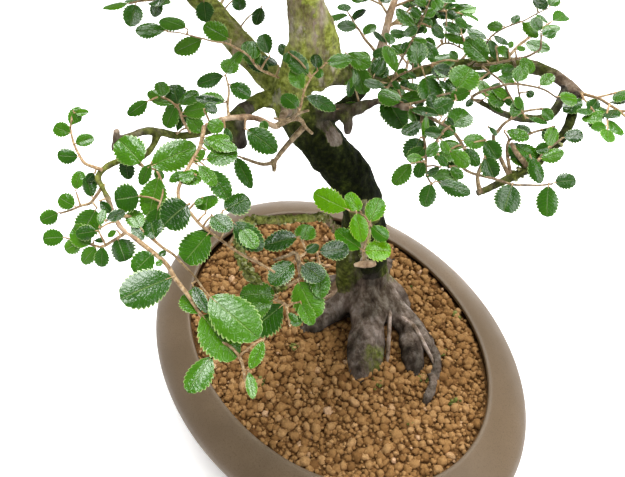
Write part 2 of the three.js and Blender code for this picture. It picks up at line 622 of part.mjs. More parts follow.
function crownLeaves(shoot, index) {
  const curve = curveOf(shoot.route);
  const up = new THREE.Vector3(0, 0, 1);
  const places = [0.6, 0.98];
  return places.map((place, k) => {
    const along = curve.getTangent(place);
    const tipTurn = (scatter(index, 9) - 0.5) * 0.6;
    const turn = place > 0.9 ? tipTurn : (k % 2 ? -1 : 1) * 0.95;
    const heading = along.clone().applyAxisAngle(up, turn).normalize();
    const side = up.clone().cross(heading).normalize();
    const normal = heading.clone().cross(side);
    const pitch = (scatter(index + 20, k) - 0.35) * 0.6;
    const roll = (scatter(index + 70, k) - 0.5) * 0.9;
    const length = 15 + 5 * scatter(index + 90, k);
    const aspect = 0.55 + 0.2 * scatter(index + 110, k);
    return { base: pointOnTwig(shoot.route, place), ...leafPose(heading, normal, pitch, roll), length, aspect };
  });
}

function boxesApart(a, b) {
  return [0, 1, 2].some((i) => a.max[i] < b.min[i] || b.max[i] < a.min[i]);
}

// Whether a solid meets any of the others, which are kept with their boxes.
function meets(solid, others) {
  const box = solid.boundingBox();
  return others.some((other) => !boxesApart(box, other.box) && solid.intersect(other.solid).volume() > 0);
}

function kept(solid, owner) {
  return { solid, box: solid.boundingBox(), owner };
}

const LEAF_TRIES = [[0, 0], [0.3, 0], [-0.3, 0], [0, 0.4], [0, -0.4], [0.6, 0], [-0.6, 0], [0.45, 0.5], [0.45, -0.5], [-0.5, 0.6]];
const TWIG_TRIES = [0, 4, -4, 7, -7, 10];

// The twig with its inner points shifted up or down, cut off at the bark it grows from.
function twigSolid(shoot, shift, grow) {
  const route = shoot.route.map(([x, y, z], i) => [x, y, i === 0 ? z : z + shift]);
  const radii = route.map((_, i) => shoot.radius * (1 - (0.4 * i) / (route.length - 1)));
  const sides = 3;
  return { route, solid: solidOf(limb({ route, radii }, sides, stepsFor(route, TWIG_SPACING), grow)) };
}

function growTwig(shoot, owner, woodRoom, taken) {
  for (const shift of TWIG_TRIES) {
    const { route, solid } = twigSolid(shoot, shift, 0);
    const pieces = solid.subtract(woodRoom).decompose();
    pieces.sort((a, b) => b.volume() - a.volume());
    const spare = pieces.slice(1).reduce((sum, piece) => sum + piece.volume(), 0);
    const wide = twigSolid(shoot, shift, TWIG_SPACE).solid.subtract(woodRoom);
    if (spare < 0.1 * pieces[0].volume() && !meets(wide, taken)) {
      return { route, solid: pieces[0] };
    }
  }
  throw new Error("no clear way for the twig " + owner);
}

function growLeaf(leaf, owner, others) {
  for (const [pitch, roll] of LEAF_TRIES) {
    const posed = { ...leaf, ...leafPose(leaf.heading, leaf.normal, pitch, roll) };
    if (!meets(solidOf(leafGeometry(posed, LEAF_SPACE)), others)) {
      return solidOf(leafGeometry(posed));
    }
  }
  return null;
}

// Twigs first, then the leaves on each, every one bent clear of the other shoots and the wood.
function makeShoots(wood) {
  const woodRoom = makeWood(CLEARANCE);
  const shoots = [];
  const taken = [];
  Object.entries(FRONT_SHOOTS).forEach(([name, shoot], index) => {
    shoots.push({ ...shoot, name: "shoot_" + name, index, leavesOf: frontLeaves });
  });
  CROWN_SHOOTS.forEach((spec, index) => {
    const number = CROWN_SHOOTS.slice(0, index).filter(([name]) => name === spec[0]).length + 1;
    const name = "shoot_" + spec[0] + "_" + number;
    shoots.push({ ...crownShoot(spec, index), name, index, leavesOf: crownLeaves });
  });
  for (const shoot of shoots) {
    const { route, solid } = growTwig(shoot, shoot.name, woodRoom, taken);
    shoot.route = route;
    shoot.solids = [solid];
    taken.push(kept(solid, shoot.name));
  }
  const bark = kept(wood, "wood");
  for (const shoot of shoots) {
    for (const leaf of shoot.leavesOf(shoot, shoot.index)) {
      const others = taken.filter((item) => item.owner !== shoot.name);
      const solid = growLeaf(leaf, shoot.name, [bark, ...others]);
      if (!solid) continue;
      shoot.solids.push(solid);
      taken.push(kept(solid, shoot.name));
    }
  }
  return shoots;
}

const tree = new THREE.Group();
tree.rotation.z = TREE_TURN;
tree.position.z = RIM_HEIGHT;
const wood = makeWood();
tree.add(meshOf(wood, "wood", MATERIALS.bark));
for (const shoot of makeShoots(wood)) {
  const material = shoot.fresh ? MATERIALS.newLeaf : MATERIALS.leaf;
  tree.add(meshOf(wasm.Manifold.union(shoot.solids), shoot.name, material));
}

const bonsai = new THREE.Group();
bonsai.add(meshOf(makePot(), "pot", MATERIALS.pot));
bonsai.add(meshOf(makeSoil(), "soil", MATERIALS.soil));
bonsai.add(meshOf(makeScreen(-DRAIN_SPACING), "screen_left", MATERIALS.screen));
bonsai.add(meshOf(makeScreen(DRAIN_SPACING), "screen_right", MATERIALS.screen));
bonsai.add(tree);

// The origin is the middle of the footprint, on the surface that the pot stands on.
bonsai.updateMatrixWorld(true);
const box = new THREE.Box3().setFromObject(bonsai, true);
bonsai.position.set(-(box.min.x + box.max.x) / 2, -(box.min.y + box.max.y) / 2, 0);

export default bonsai;
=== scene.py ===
"""Looks of a small-leaved zelkova grown as a bonsai, in an oval unglazed pot.

Sizes are in millimetres and become metres where a mesh is made. Routes and leaves are given in the
tree's own frame: x to the right and y away as the tree's front is seen, z measured from the pot's rim.
"""
import math
import random

import bmesh
import bpy
import numpy as np
from mathutils import Matrix, Vector, kdtree, noise


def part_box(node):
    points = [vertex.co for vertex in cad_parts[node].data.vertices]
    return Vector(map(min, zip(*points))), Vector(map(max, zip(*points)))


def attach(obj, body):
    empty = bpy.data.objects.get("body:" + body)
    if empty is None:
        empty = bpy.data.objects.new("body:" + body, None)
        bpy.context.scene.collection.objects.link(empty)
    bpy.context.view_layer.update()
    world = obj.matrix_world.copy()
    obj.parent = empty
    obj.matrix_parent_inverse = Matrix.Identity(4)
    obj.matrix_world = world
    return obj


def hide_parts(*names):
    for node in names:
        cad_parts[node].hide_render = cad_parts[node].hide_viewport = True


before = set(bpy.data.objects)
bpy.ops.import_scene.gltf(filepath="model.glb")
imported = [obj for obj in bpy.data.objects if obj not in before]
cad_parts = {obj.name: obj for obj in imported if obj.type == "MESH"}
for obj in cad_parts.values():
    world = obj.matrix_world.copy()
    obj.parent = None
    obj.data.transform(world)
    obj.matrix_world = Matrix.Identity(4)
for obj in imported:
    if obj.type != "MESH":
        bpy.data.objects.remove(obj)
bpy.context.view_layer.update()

MM = 0.001
# The pot: heights, then the half lengths of its body and mouth, and their width over length.
RIM_HEIGHT = 85
FOOT_HEIGHT = 8
FLOOR_TOP = 16
BODY_HALF_LENGTH = 175
MOUTH_HALF_LENGTH = 141
BODY_ASPECT = 0.764
MOUTH_ASPECT = 0.751
# How far the tree's front is turned about the pot, and how steeply the photograph looks down.
TREE_TURN = math.radians(53.4)
VIEW_DOWN = math.radians(50)

pot_low, pot_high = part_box("pot")
POT_CENTRE = np.array([(pot_low[0] + pot_high[0]) / 2, (pot_low[1] + pot_high[1]) / 2, 0]) / MM

# ---------------------------------------------------------------- routes of the wood

def limb(radii, *route):
    """A limb of the wood: its radius at even steps along it, and the points that it runs through."""
    return dict(route=list(route), radii=radii)


TRUNK = limb(
    [20, 25, 18, 14.8, 14.8, 15.2, 14, 12.9, 11.6, 10.8, 10, 9, 7.4, 6, 4.6, 3.2, 1.8], (29, 34, -34),
    (28, 33, -8), (27, 33, 18), (25, 32, 68), (20, 32, 112), (8, 31, 148), (-14, 31, 182), (-29, 32, 210),
    (-26, 33, 234), (-20, 34, 258), (-21, 34, 285), (-22, 36, 315), (-16, 34, 345), (-6, 31, 374),
    (-6, 29, 400), (-12, 27, 424), (-15, 25, 444),
)

ROOTS = [
    limb(
        [9, 12.5, 13, 10.5, 5.5], (27, 31, 42), (26, 15, 23), (24, -8, 7), (21, -29, -5), (19, -45, -19),
    ),
    limb([9, 11, 9.5, 6.5, 3.5], (24, 33, 34), (9, 21, 15), (-7, 13, 4), (-21, 8, -7), (-30, 4, -19)),
    limb([8, 10, 7.5, 3.5], (24, 35, 28), (6, 41, 8), (-14, 49, -4), (-34, 56, -17)),
    limb([8, 9.5, 9, 10.5, 5.5], (33, 31, 32), (47, 17, 13), (57, -3, 4), (61, -20, -2), (65, -35, -14)),
    limb([6, 5.5, 4.5, 4.5, 2.5], (36, 28, 22), (60, 9, 8), (72, -9, 3), (80, -26, -2), (76, -54, -17)),
    limb([8, 10, 6.5, 3], (30, 38, 26), (38, 58, 4), (48, 75, -7), (58, 90, -19)),
]

# Lesser roots that fill the flare. The first is a pale bare rod.
SMALL_ROOTS = [
    limb([3, 2.4, 2, 1.5], (18, 34, 20), (2, 31, 11), (-12, 27, 2), (-22, 25, -8)),
    limb([8, 7.5, 6, 3], (18, 24, 20), (1, 19, 9), (-16, 17, -2), (-26, 15, -11)),
    limb([8, 6.5, 4], (38, 36, 24), (52, 34, 8), (62, 27, -6)),
    limb([6, 5.5, 4.5, 3], (56, 14, 8), (68, 5, -1), (76, -8, -4), (82, -18, -10)),
    limb([2.5, 3.6, 4, 2.5], (74, -32, -9), (76, -43, -4), (72, -54, -4), (67, -61, -11)),
    limb([7, 7, 5.5, 4], (20, 22, 24), (18, -6, 8), (17, -28, -4), (17, -44, -14)),
    limb([7, 7, 6, 4], (36, 22, 24), (36, -2, 8), (33, -24, -5), (31, -36, -13)),
]

# Two bare roots that stand off the flare: a rod, and an arch over a hollow.
BARE_ROOTS = [
    limb([1.9, 1.7, 1.6, 1.5], (45, 14, 18), (44, 2, 13), (43, -11, 8), (42, -24, -6)),
    limb(
        [2.6, 2.2, 1.9, 1.6, 1.3, 1], (47, 14, 18), (55, 5, 13), (63, -1, 10), (71, -16, 6), (77, -27, 0),
        (83, -38, -9),
    ),
]

# Hollows pressed into the flare and into the trunk's fork: place, depth, reach.
HOLLOWS = [
    ((50, -2, 9), 10, 5.5), ((50, -17, 0), 6, 3.5), ((36, -14, 6), 4, 3.5), ((3, 22, 18), 4, 5),
    ((4, 12, 14), 4, 5), ((14, -2, 12), 3, 4), ((-11, 23, 291), 3, 2.6), ((-12, 23, 282), 3, 2.6),
    ((-14, 23, 274), 3, 2.6), ((-15, 22, 267), 3, 2.6), ((-13, 21, 260), 3, 2.6),
    ((-11, 21, 252), 3, 2.6), ((-24, 22, 271), 1.6, 2), ((-19, 22, 272), 1.8, 2),
]

BRANCHES = dict(
    fork=limb(
        [7, 7.6, 7.8, 7.6, 7, 6], (-16, 33, 224), (-9, 33, 234), (-8, 34, 248), (-12, 34, 266),
        (-18, 34, 284), (-21, 34, 300),
    ),
    right_front=limb(
        [6, 4.6, 2.2, 2, 1.9], (-12, 30, 205), (6, 26, 210), (23, 18, 224), (36, 0, 235), (47, -10, 238),
    ),
    right_stub=limb([5.5, 3.6, 2.3], (1, 25, 212), (5, 24, 202), (5, 23, 194)),
    back_left=limb(
        [9.5, 8.5, 7.5, 5.5, 3], (-30, 34, 212), (-55, 55, 228), (-89, 90, 248), (-120, 118, 264),
        (-150, 134, 272),
    ),
    left=limb(
        [6, 5, 4.3, 3, 2.6, 2.6, 2.6, 2.1, 1.9, 2, 2, 1.8, 1.7, 1.7], (-32, 30, 212), (-47, 26, 219),
        (-59, 16, 218), (-72, 8, 214), (-86, -2, 216), (-97, -8, 220), (-105, -13, 227), (-109, -20, 222),
        (-116, -30, 222), (-124, -38, 229), (-133, -50, 230), (-126, -65, 229), (-118, -81, 224),
        (-108, -89, 222),
    ),
    left_tip=limb(
        [2.4, 2.5, 2.1, 2], (-103, -12, 226), (-111, -17, 232), (-117, -22, 234), (-126, -28, 235),
    ),
    left_stub=limb([2.2, 2.2, 2.1], (-124, -28, 243), (-126, -28, 235), (-128, -29, 228)),
    left_knob=limb([4.8, 6.4, 6, 4], (-57, 18, 219), (-64, 14, 212), (-64, 12, 202), (-61, 11, 194)),
    front=limb(
        [4, 2.5, 1.9, 1.9, 1.8, 1.6], (-30, 25, 210), (-33, 0, 232), (-36, -32, 249), (-48, -33, 256),
        (-63, -37, 259), (-73, -44, 260),
    ),
    low_left=limb(
        [4, 3.2, 2.9, 2.9, 3, 3, 2.9, 2.9, 2.4, 1.8], (9, 27, 82), (-1, 17, 108), (-9, 10, 128),
        (-18, 3, 135), (-38, -11, 149), (-58, -32, 170), (-59, -63, 178), (-52, -81, 182),
        (-43, -92, 182), (-31, -93, 187),
    ),
    low_front=limb([5, 4, 3, 2.2], (20, 24, 112), (18, -14, 146), (14, -54, 174), (12, -79, 187)),
    front_cut=limb([1.6, 2.4, 2.2], (6, -79, 188), (12, -80, 190), (18, -80, 191)),
    flank=limb(
        [6, 8.5, 9.5, 9.5, 8], (14, 32, 118), (12, 31, 95), (11, 30, 68), (11, 29, 42), (9, 27, 22),
    ),
    right_back=limb(
        [7.5, 7, 2.8, 3.6, 4.3, 4.3, 4, 3.2], (-24, 33, 226), (3, 37, 230), (24, 45, 217), (58, 55, 219),
        (86, 54, 224), (109, 46, 230), (126, 29, 236), (140, 8, 236),
    ),
    right_back_low=limb(
        [3.2, 3, 3, 2.6, 2], (138, 11, 236), (126, -18, 232), (108, -34, 223), (95, -39, 217),
        (76, -45, 210),
    ),
    right_back_mid=limb([3, 2.8, 2.4, 1.6], (134, 18, 236), (120, -2, 230), (98, -2, 230), (78, 5, 236)),
    back_low=limb(
        [5.5, 4.2, 3.6, 2.8, 1.8], (-10, 40, 188), (15, 68, 190), (29, 100, 195), (38, 128, 212),
        (47, 148, 224),
    ),
    left_high=limb(
        [6.5, 4.6, 3.4, 1.8], (-20, 34, 290), (-60, 40, 310), (-104, 45, 320), (-140, 48, 322),
    ),
    right_high=limb([6, 4.4, 3.2, 1.8], (-20, 35, 308), (25, 42, 326), (70, 48, 334), (106, 52, 336)),
    back_high=limb([6.5, 4.8, 3.6, 1.8], (-18, 38, 268), (-14, 80, 286), (-8, 122, 294), (-2, 156, 292)),
    back_right_high=limb([5, 3.6, 1.8], (-18, 36, 326), (20, 72, 344), (54, 102, 350)),
    front_high=limb(
        [4.8, 3.6, 2.8, 1.6], (-15, 32, 350), (-20, -10, 372), (-28, -48, 386), (-34, -80, 390),
    ),
    back_left_high=limb([4.6, 3.4, 1.8], (-16, 34, 342), (-50, 64, 360), (-84, 88, 366)),
    right_front_high=limb([4, 3, 1.6], (-7, 31, 370), (24, 6, 388), (54, -18, 394)),
    left_top=limb([3.6, 2.8, 1.6], (-6, 30, 384), (-38, 22, 402), (-68, 14, 408)),
)

# Shoots seen from the front, as (radius, route, leaves). A leaf is (place along the twig, heading in
# degrees, length, width over length). Two more numbers give it a twiglet of its own, by length and heading.
FRONT_SHOOTS = dict(
    left_front=(1.8, [
        (-108, -89, 222), (-94, -100, 219), (-84, -112, 213), (-73, -125, 205), (-66, -135, 199),
        (-57, -139, 197), (-52, -146, 192), (-50, -154, 183),
    ], [
        (0.24, -150, 26, 0.61), (0.42, -50, 26, 0.66), (0.61, -120, 20, 0.56, 7, -115),
        (0.1, -135, 13, 0.94), (0.89, -75, 14, 0.33, 2, 5), (0.79, -110, 15, 0.4, 16, 35),
        (0.43, 125, 16, 0.65), (0.12, 35, 4, 0.81), (0.15, -135, 4, 0.71),
    ]),
    left_second=(1.5, [
        (-120, -77, 226), (-115, -71, 220), (-108, -78, 217), (-96, -88, 215), (-86, -97, 215),
        (-76, -108, 212), (-68, -119, 211),
    ], [
        (0.97, -45, 30, 0.61), (0.83, -65, 17, 0.31, 3, -140), (0.45, 105, 15, 0.69),
        (0.34, 118, 12, 0.68), (0.26, -45, 10, 0.52, 3, -145),
    ]),
    left_edge=(1.4, [
        (-114, -85, 223), (-125, -84, 213), (-132, -83, 209), (-139, -80, 209), (-150, -77, 209),
    ], [
        (0.5, -135, 13, 0.57), (0.38, -95, 12, 0.59), (0.6, 145, 14, 0.8), (0.8, -150, 11, 0.7),
        (1, 180, 12, 0.7), (0.32, -170, 12, 0.63, 8, 115), (0.12, -70, 13, 0.9),
        (0.07, -150, 6, 0.51, 3, 125), (0.62, 5, 6, 0.45, 2, 65),
    ]),
    left_outer=(1.5, [(-129, -57, 230), (-137, -59, 219), (-146, -59, 214), (-157, -59, 209)], [
        (0.35, -120, 18, 0.73, 5, -50), (0.3, 110, 13, 0.6), (0.7, 150, 11, 0.75), (1, 205, 12, 0.64),
        (0.61, 80, 11, 0.64, 8, 105),
    ]),
    left_tall=(1.6, [
        (-131, -48, 232), (-138, -45, 232), (-144, -39, 231), (-149, -30, 233), (-152, -21, 238),
    ], [
        (0.75, 25, 11, 0.61), (0.9, 155, 11, 0.7), (1, 65, 12, 0.56), (0.54, 180, 12, 0.64),
        (0.11, -130, 6, 0.75, 3, -105), (1, 0, 8, 0.47, 8, 70), (1, -65, 7, 0.69, 9, 75),
    ]),
    left_upper=(1.3, [
        (-118, -24, 234), (-114, -42, 234), (-107, -48, 234), (-101, -51, 234), (-97, -58, 230),
        (-99, -68, 224),
    ], [
        (0.36, 130, 19, 0.78), (0.46, 25, 27, 0.54), (0.14, -90, 13, 0.58, 4, -155),
        (0.68, -105, 23, 0.57), (1, -100, 16, 0.66), (0.95, -170, 14, 0.98, 10, 165),
        (0.57, -55, 7, 0.66), (0.49, -120, 14, 0.45, 3, 75),
    ]),
    hanging=(1.7, [
        (-73, -44, 260), (-74, -52, 257), (-77, -59, 253), (-81, -67, 251), (-84, -74, 247),
        (-85, -79, 244), (-79, -86, 240), (-72, -92, 236), (-58, -100, 229), (-47, -104, 224),
        (-36, -108, 219),
    ], [
        (0.57, -140, 15, 0.98, 3, 35), (0.67, 90, 11, 0.95, 6, 45), (0.76, -45, 19, 0.53, 11, 55),
        (0.4, 40, 11, 0.71), (0.22, -55, 18, 0.49, 9, -35), (0.2, 10, 16, 0.66, 5, -30),
        (0.12, 0, 14, 0.66), (0.72, 35, 14, 0.84, 12, 50), (0.24, -50, 14, 0.44, 3, -30),
        (0.3, -165, 8, 0.77, 6, -30), (0.79, -60, 13, 0.56, 11, 55), (0.08, -25, 18, 0.4),
        (0.7, -50, 12, 0.72, 7, 50), (0.73, -130, 18, 0.79), (0.14, -130, 8, 0.64, 4, -25),
        (0.31, -140, 9, 0.47), (0.75, 160, 11, 0.4), (0.59, -120, 5, 0.58, 10, 40),
    ]),
    front_up=(1.2, [(-61, -36, 259), (-62, -30, 262), (-61, -23, 266), (-63, -16, 270)], [
        (1, 70, 9, 0.98), (0.8, -30, 13, 0.61), (0.99, -165, 16, 0.52), (0.4, 170, 14, 0.54),
        (0.36, 175, 16, 0.29),
    ]),
    front_right=(1.1, [
        (-38, -21, 245), (-31, -28, 250), (-25, -25, 251), (-23, -14, 252), (-19, -1, 255), (-15, 6, 255),
        (-10, 12, 256),
    ], [
        (0.69, 130, 19, 0.49), (0.39, 130, 14, 0.59), (0.53, -20, 19, 0.43), (1, 10, 15, 0.53),
        (0.86, 90, 11, 0.6), (0.56, 115, 18, 0.45), (0.92, -115, 6, 0.91), (0.73, -110, 6, 0.65, 18, 135),
    ]),
    left_fine=(1, [
        (-34, 31, 230), (-47, 21, 245), (-56, 24, 255), (-66, 22, 263), (-77, 20, 267), (-88, 20, 271),
        (-98, 19, 273),
    ], [
        (0.99, -180, 17, 0.5), (0.82, 145, 20, 0.49, 2, 75), (0.68, -155, 18, 0.52),
        (0.47, 145, 19, 0.53, 2, 70), (0.34, 215, 11, 0.62), (0.18, 120, 18, 0.53), (0.24, 88, 13, 0.55),
        (0.17, 110, 14, 0.6, 9, 55), (0.1, 140, 17, 0.49), (0.06, 150, 12, 0.49, 6, 70),
        (0.03, 120, 9, 0.59, 12, 70),
    ]),
    left_cluster=(1.3, [
        (-89, -5, 220), (-92, -6, 230), (-93, -6, 239), (-98, -5, 244), (-103, -4, 246),
    ], [
        (0.5, 100, 13, 0.89), (0.28, 135, 11, 0.82), (0.38, 10, 17, 0.54), (1, -145, 15, 0.47, 6, -155),
        (0.55, 35, 14, 0.53), (0.86, 105, 9, 0.84), (0.32, -45, 13, 0.64, 3, 15), (0.57, -120, 14, 0.63),
        (0.91, 170, 9, 0.55), (0.58, 170, 15, 0.3), (0.1, 70, 14, 0.38, 7, -145),
    ]),
    middle_left=(1.3, [
        (-38, -93, 184), (-32, -86, 193), (-24, -80, 196), (-21, -77, 197), (-22, -72, 199),
        (-24, -69, 200),
    ], [
        (1, 190, 19, 0.57), (0.81, 80, 11, 0.88), (0.55, 40, 9, 0.55), (0.32, -130, 17, 0.64),
    ]),
    middle_right=(1.2, [
        (-33, -93, 187), (-26, -92, 190), (-19, -86, 193), (-13, -82, 193), (-10, -82, 192),
    ], [
        (0.75, 10, 16, 0.6, 6, 105), (0.47, -45, 14, 0.77, 5, 130), (0.74, -90, 18, 0.53),
        (0.28, -65, 21, 0.68),
    ]),
    middle_low=(1.3, [
        (-44, -92, 182), (-38, -98, 182), (-32, -103, 184), (-30, -111, 184), (-29, -116, 182),
    ], [
        (0.29, -155, 21, 0.53), (0.49, -140, 24, 0.58), (0.56, -65, 13, 0.53, 8, 20), (1, 45, 8, 0.6),
        (0.67, -50, 7, 0.47), (0.29, 170, 19, 0.71, 2, 65),
    ]),
    right_drop=(1.5, [
        (46, -9, 238), (55, -16, 237), (64, -22, 233), (69, -29, 226), (68, -36, 220), (77, -39, 219),
        (86, -43, 219), (97, -46, 218), (107, -47, 219), (116, -47, 220),
    ], [
        (0.16, 40, 16, 0.81), (0.08, 95, 14, 0.55), (0.26, -5, 13, 0.65), (0.34, 190, 18, 0.36),
        (0.3, -55, 13, 0.72, 12, 20), (0.75, -110, 16, 0.86), (0.97, -95, 18, 0.59),
        (0.28, -35, 14, 0.57, 9, -155), (1, 10, 12, 0.67), (0.22, 150, 11, 0.74), (0.44, 150, 14, 0.5),
        (0.31, 160, 12, 0.45), (0.42, -50, 10, 0.53, 8, -180), (0.55, -65, 13, 0.72, 10, 75),
        (0.1, 160, 17, 0.29, 3, 60), (0.22, -180, 13, 0.29), (0.3, -55, 13, 0.52),
        (0.12, -50, 6, 0.53, 4, 55),
    ]),
    right_lower=(1.4, [(45, -8, 238), (46, -22, 230), (47, -32, 224), (47, -39, 219), (50, -44, 216)], [
        (0.55, -130, 16, 0.54, 8, 180), (0.95, -105, 14, 0.61), (0.98, -20, 20, 0.43, 2, 35),
        (0.78, 0, 18, 0.41), (0.23, -115, 14, 0.83, 2, -175), (0.34, -135, 12, 0.68),
        (0.52, -110, 10, 0.65, 2, -175), (0.09, -145, 14, 0.55), (0.6, -150, 10, 0.38, 8, -5),
    ]),
    right_middle=(1.3, [(24, 17, 225), (30, 22, 236), (40, 22, 244), (52, 20, 250)], [
        (0.09, -60, 23, 0.61), (0.45, 110, 19, 0.4), (0.85, -75, 16, 0.87, 6, -75), (0.8, 95, 15, 0.74),
        (1, 20, 15, 0.6), (0.2, 165, 14, 0.45), (1, 130, 7, 0.58, 15, 5), (1, -170, 12, 0.59, 12, -15),
        (1, -55, 9, 0.4, 10, -70), (0.99, -30, 12, 0.63, 2, -75), (0.32, -40, 7, 0.5),
        (0.58, -25, 8, 0.46),
    ]),
    right_fork=(1.5, [(104, -36, 222), (107, -37, 227), (113, -32, 231), (121, -28, 236)], [
        (0.29, -65, 16, 0.51, 5, 130), (0.4, 10, 14, 0.5), (0.7, 75, 12, 0.61), (1, 10, 11, 0.69),
        (0.76, -170, 8, 0.71),
    ]),
    right_arc=(1.4, [
        (80, 4, 236), (74, 2, 240), (84, 3, 246), (97, 2, 250), (110, -1, 250), (120, -6, 247),
    ], [
        (0.22, 140, 18, 0.72), (0.4, -20, 14, 0.5), (0.6, 60, 12, 0.65), (1, 0, 12, 0.65),
        (0.8, 40, 11, 0.6), (0.35, -25, 11, 0.75, 3, -70), (0, -40, 13, 0.31, 3, 25),
        (0.12, -125, 6, 0.6),
    ]),
    right_tan=(1.4, [
        (88, 54, 224), (82, 38, 235), (98, 32, 243), (111, 31, 248), (117, 33, 252), (117, 39, 258),
    ], [
        (0.3, 125, 21, 0.57), (0.5, -50, 12, 0.63), (0.94, 30, 10, 0.71), (1, 115, 10, 0.66),
        (0.48, 10, 6, 0.59, 5, 100), (0.43, 65, 5, 0.67, 6, 100), (0.35, -35, 10, 0.52, 9, 100),
    ]),
    right_thin=(1, [(80, 54, 223), (84, 44, 236), (93, 51, 249), (108, 53, 256), (124, 58, 262)], [
        (0.6, 170, 10, 0.6), (0.74, -40, 14, 0.43), (1, 50, 9, 0.77), (0.32, 125, 11, 0.7),
        (0.66, 55, 8, 0.6), (0.47, -40, 11, 0.43), (0.42, 150, 14, 0.51), (0.44, -75, 13, 0.51),
        (0.91, -50, 11, 0.62, 10, 115),
    ]),
    right_upright=(1, [(34, 47, 218), (34, 44, 224), (41, 49, 239), (46, 52, 250), (52, 59, 261)], [
        (0.74, 130, 18, 0.4), (0.65, 175, 11, 0.55, 3, 150), (0.6, -10, 10, 0.74), (0.9, 40, 9, 0.64),
        (0.8, -145, 11, 0.54), (0.84, -45, 11, 0.51, 6, -25),
    ]),
    new_shoot=(1.1, [
        (12, -78, 187), (11, -74, 194), (13, -70, 199), (15, -66, 205), (12, -64, 210), (9, -62, 213),
        (3, -62, 214),
    ], [
        (1, 155, 21, 0.56), (0.8, 125, 13, 0.65), (0.55, 70, 15, 0.65), (0.9, -80, 17, 0.54),
        (0.52, -45, 12, 0.64), (0.17, 145, 18, 0.55), (0.16, 0, 15, 0.74),
    ]),
)

# Twigs that only the finished looks carry, in the same form as the shoots.
MORE_TWIGS = dict(
    right_bow=(1.5, [
        (94, -39, 217), (85, -25, 230), (86, -22, 235), (90, -19, 239), (96, -16, 242), (104, -13, 244),
        (115, -13, 245),
    ], [
        (0.93, -45, 9, 0.61), (0.6, 60, 10, 0.6), (0.75, 110, 9, 0.6), (0.76, -15, 12, 0.27, 4, -65),
        (0.34, -50, 7, 0.39, 6, 150),
    ]),
    right_straight=(1.4, [
        (95, -39, 217), (92, -26, 230), (99, -25, 234), (110, -22, 237), (118, -21, 239),
    ], [
        (0.33, -20, 14, 0.49, 6, 125), (0.76, -45, 9, 0.74), (0.64, 150, 9, 0.62), (0.95, -100, 9, 0.7),
        (0.24, -30, 18, 0.49, 3, -5), (0.27, -45, 15, 0.58), (0.12, -15, 11, 0.37),
    ]),
    right_hang=(1.1, [(102, 31, 245), (104, 32, 241), (105, 25, 236), (106, 18, 231), (108, 10, 226)], [
        (0.4, -170, 9, 0.98), (0.77, -50, 5, 0.9, 4, 10), (0.95, -110, 8, 0.6),
    ]),
    right_hang_fork=(0.9, [(92, 3, 249), (94, 3, 245), (97, -1, 241), (100, -4, 237)], [
        (0.9, -70, 7, 0.6), (0.57, -30, 6, 0.58, 5, -155),
    ]),
    right_moss_stick=(2.4, [(104, -36, 221), (101, -35, 225), (96, -33, 231), (93, -30, 235)], []),
    right_moss_stub=(2.0, [(78, -45, 211), (76, -43, 215), (76, -39, 219), (78, -34, 223)], []),
    right_rise=(0.9, [(46, 51, 218), (46, 55, 238), (46, 56, 248), (50, 58, 258), (53, 61, 265)], [
        (0.3, -65, 17, 0.45, 6, 0), (0.32, -155, 8, 0.77, 3, -5), (0.7, -40, 8, 0.7, 9, 150),
        (0.65, -30, 8, 0.65), (0.5, 60, 11, 0.5), (0.85, 130, 10, 0.55), (0.98, 60, 10, 0.6),
        (0, -150, 10, 0.46, 6, -85),
    ]),
    right_slant=(0.9, [(33, 47, 218), (35, 46, 224), (38, 49, 231), (41, 52, 236), (46, 55, 244)], [
        (0.6, 140, 9, 0.6), (1, 60, 10, 0.6),
    ]),
    right_back_twig=(1.1, [(59, 55, 219), (61, 67, 221), (67, 76, 223), (77, 77, 221), (87, 74, 216)], [
        (0.62, -25, 10, 0.66, 15, 80), (0.57, -40, 8, 0.62, 20, 90), (0.52, -25, 18, 0.29, 6, 105),
        (0.8, 70, 11, 0.6, 6, 100), (0.95, 0, 11, 0.6), (0.3, 120, 10, 0.6), (0.5, 100, 10, 0.59, 3, 115),
    ]),
    right_mid_fork=(1.3, [
        (24, 17, 225), (30, 12, 232), (34, 5, 234), (39, 0, 237), (47, -1, 241), (55, -1, 244),
        (64, -1, 247),
    ], [
        (1, 60, 18, 0.87), (1, -160, 11, 0.63, 8, 0), (0.98, -155, 16, 0.57, 5, -75),
        (0.38, 150, 15, 0.63), (0.5, -70, 12, 0.5),
    ]),
    right_inner=(1.1, [(59, -19, 236), (57, -21, 238), (54, -28, 235), (48, -32, 234), (44, -38, 231)], [
        (0.56, -125, 11, 0.55), (1, -175, 9, 0.53), (0.8, -60, 8, 0.59, 6, -35), (0.4, 170, 10, 0.6),
        (0.49, -70, 9, 0.51),
    ]),
    front_fork=(1.6, [(-37, -33, 250), (-30, -32, 253), (-25, -29, 255), (-19, -26, 255)], []),
    front_knuckle=(2, [(-37, -33, 250), (-26, -24, 248), (-22, -24, 243), (-17, -27, 239)], []),
    cross_twig=(2.1, [
        (-22, -23, 240), (-27, -28, 237), (-33, -34, 235), (-36, -39, 232), (-40, -42, 231),
        (-46, -43, 232), (-55, -41, 234),
    ], [
        (1, -60, 20, 0.37, 5, 165),
    ]),
    cross_stub=(2.4, [(-38, -40, 232), (-38, -43, 230), (-38, -46, 229)], []),
    moss_stick=(1.6, [(-23, -90, 191), (-26, -80, 199), (-31, -82, 200), (-38, -84, 199)], []),
)

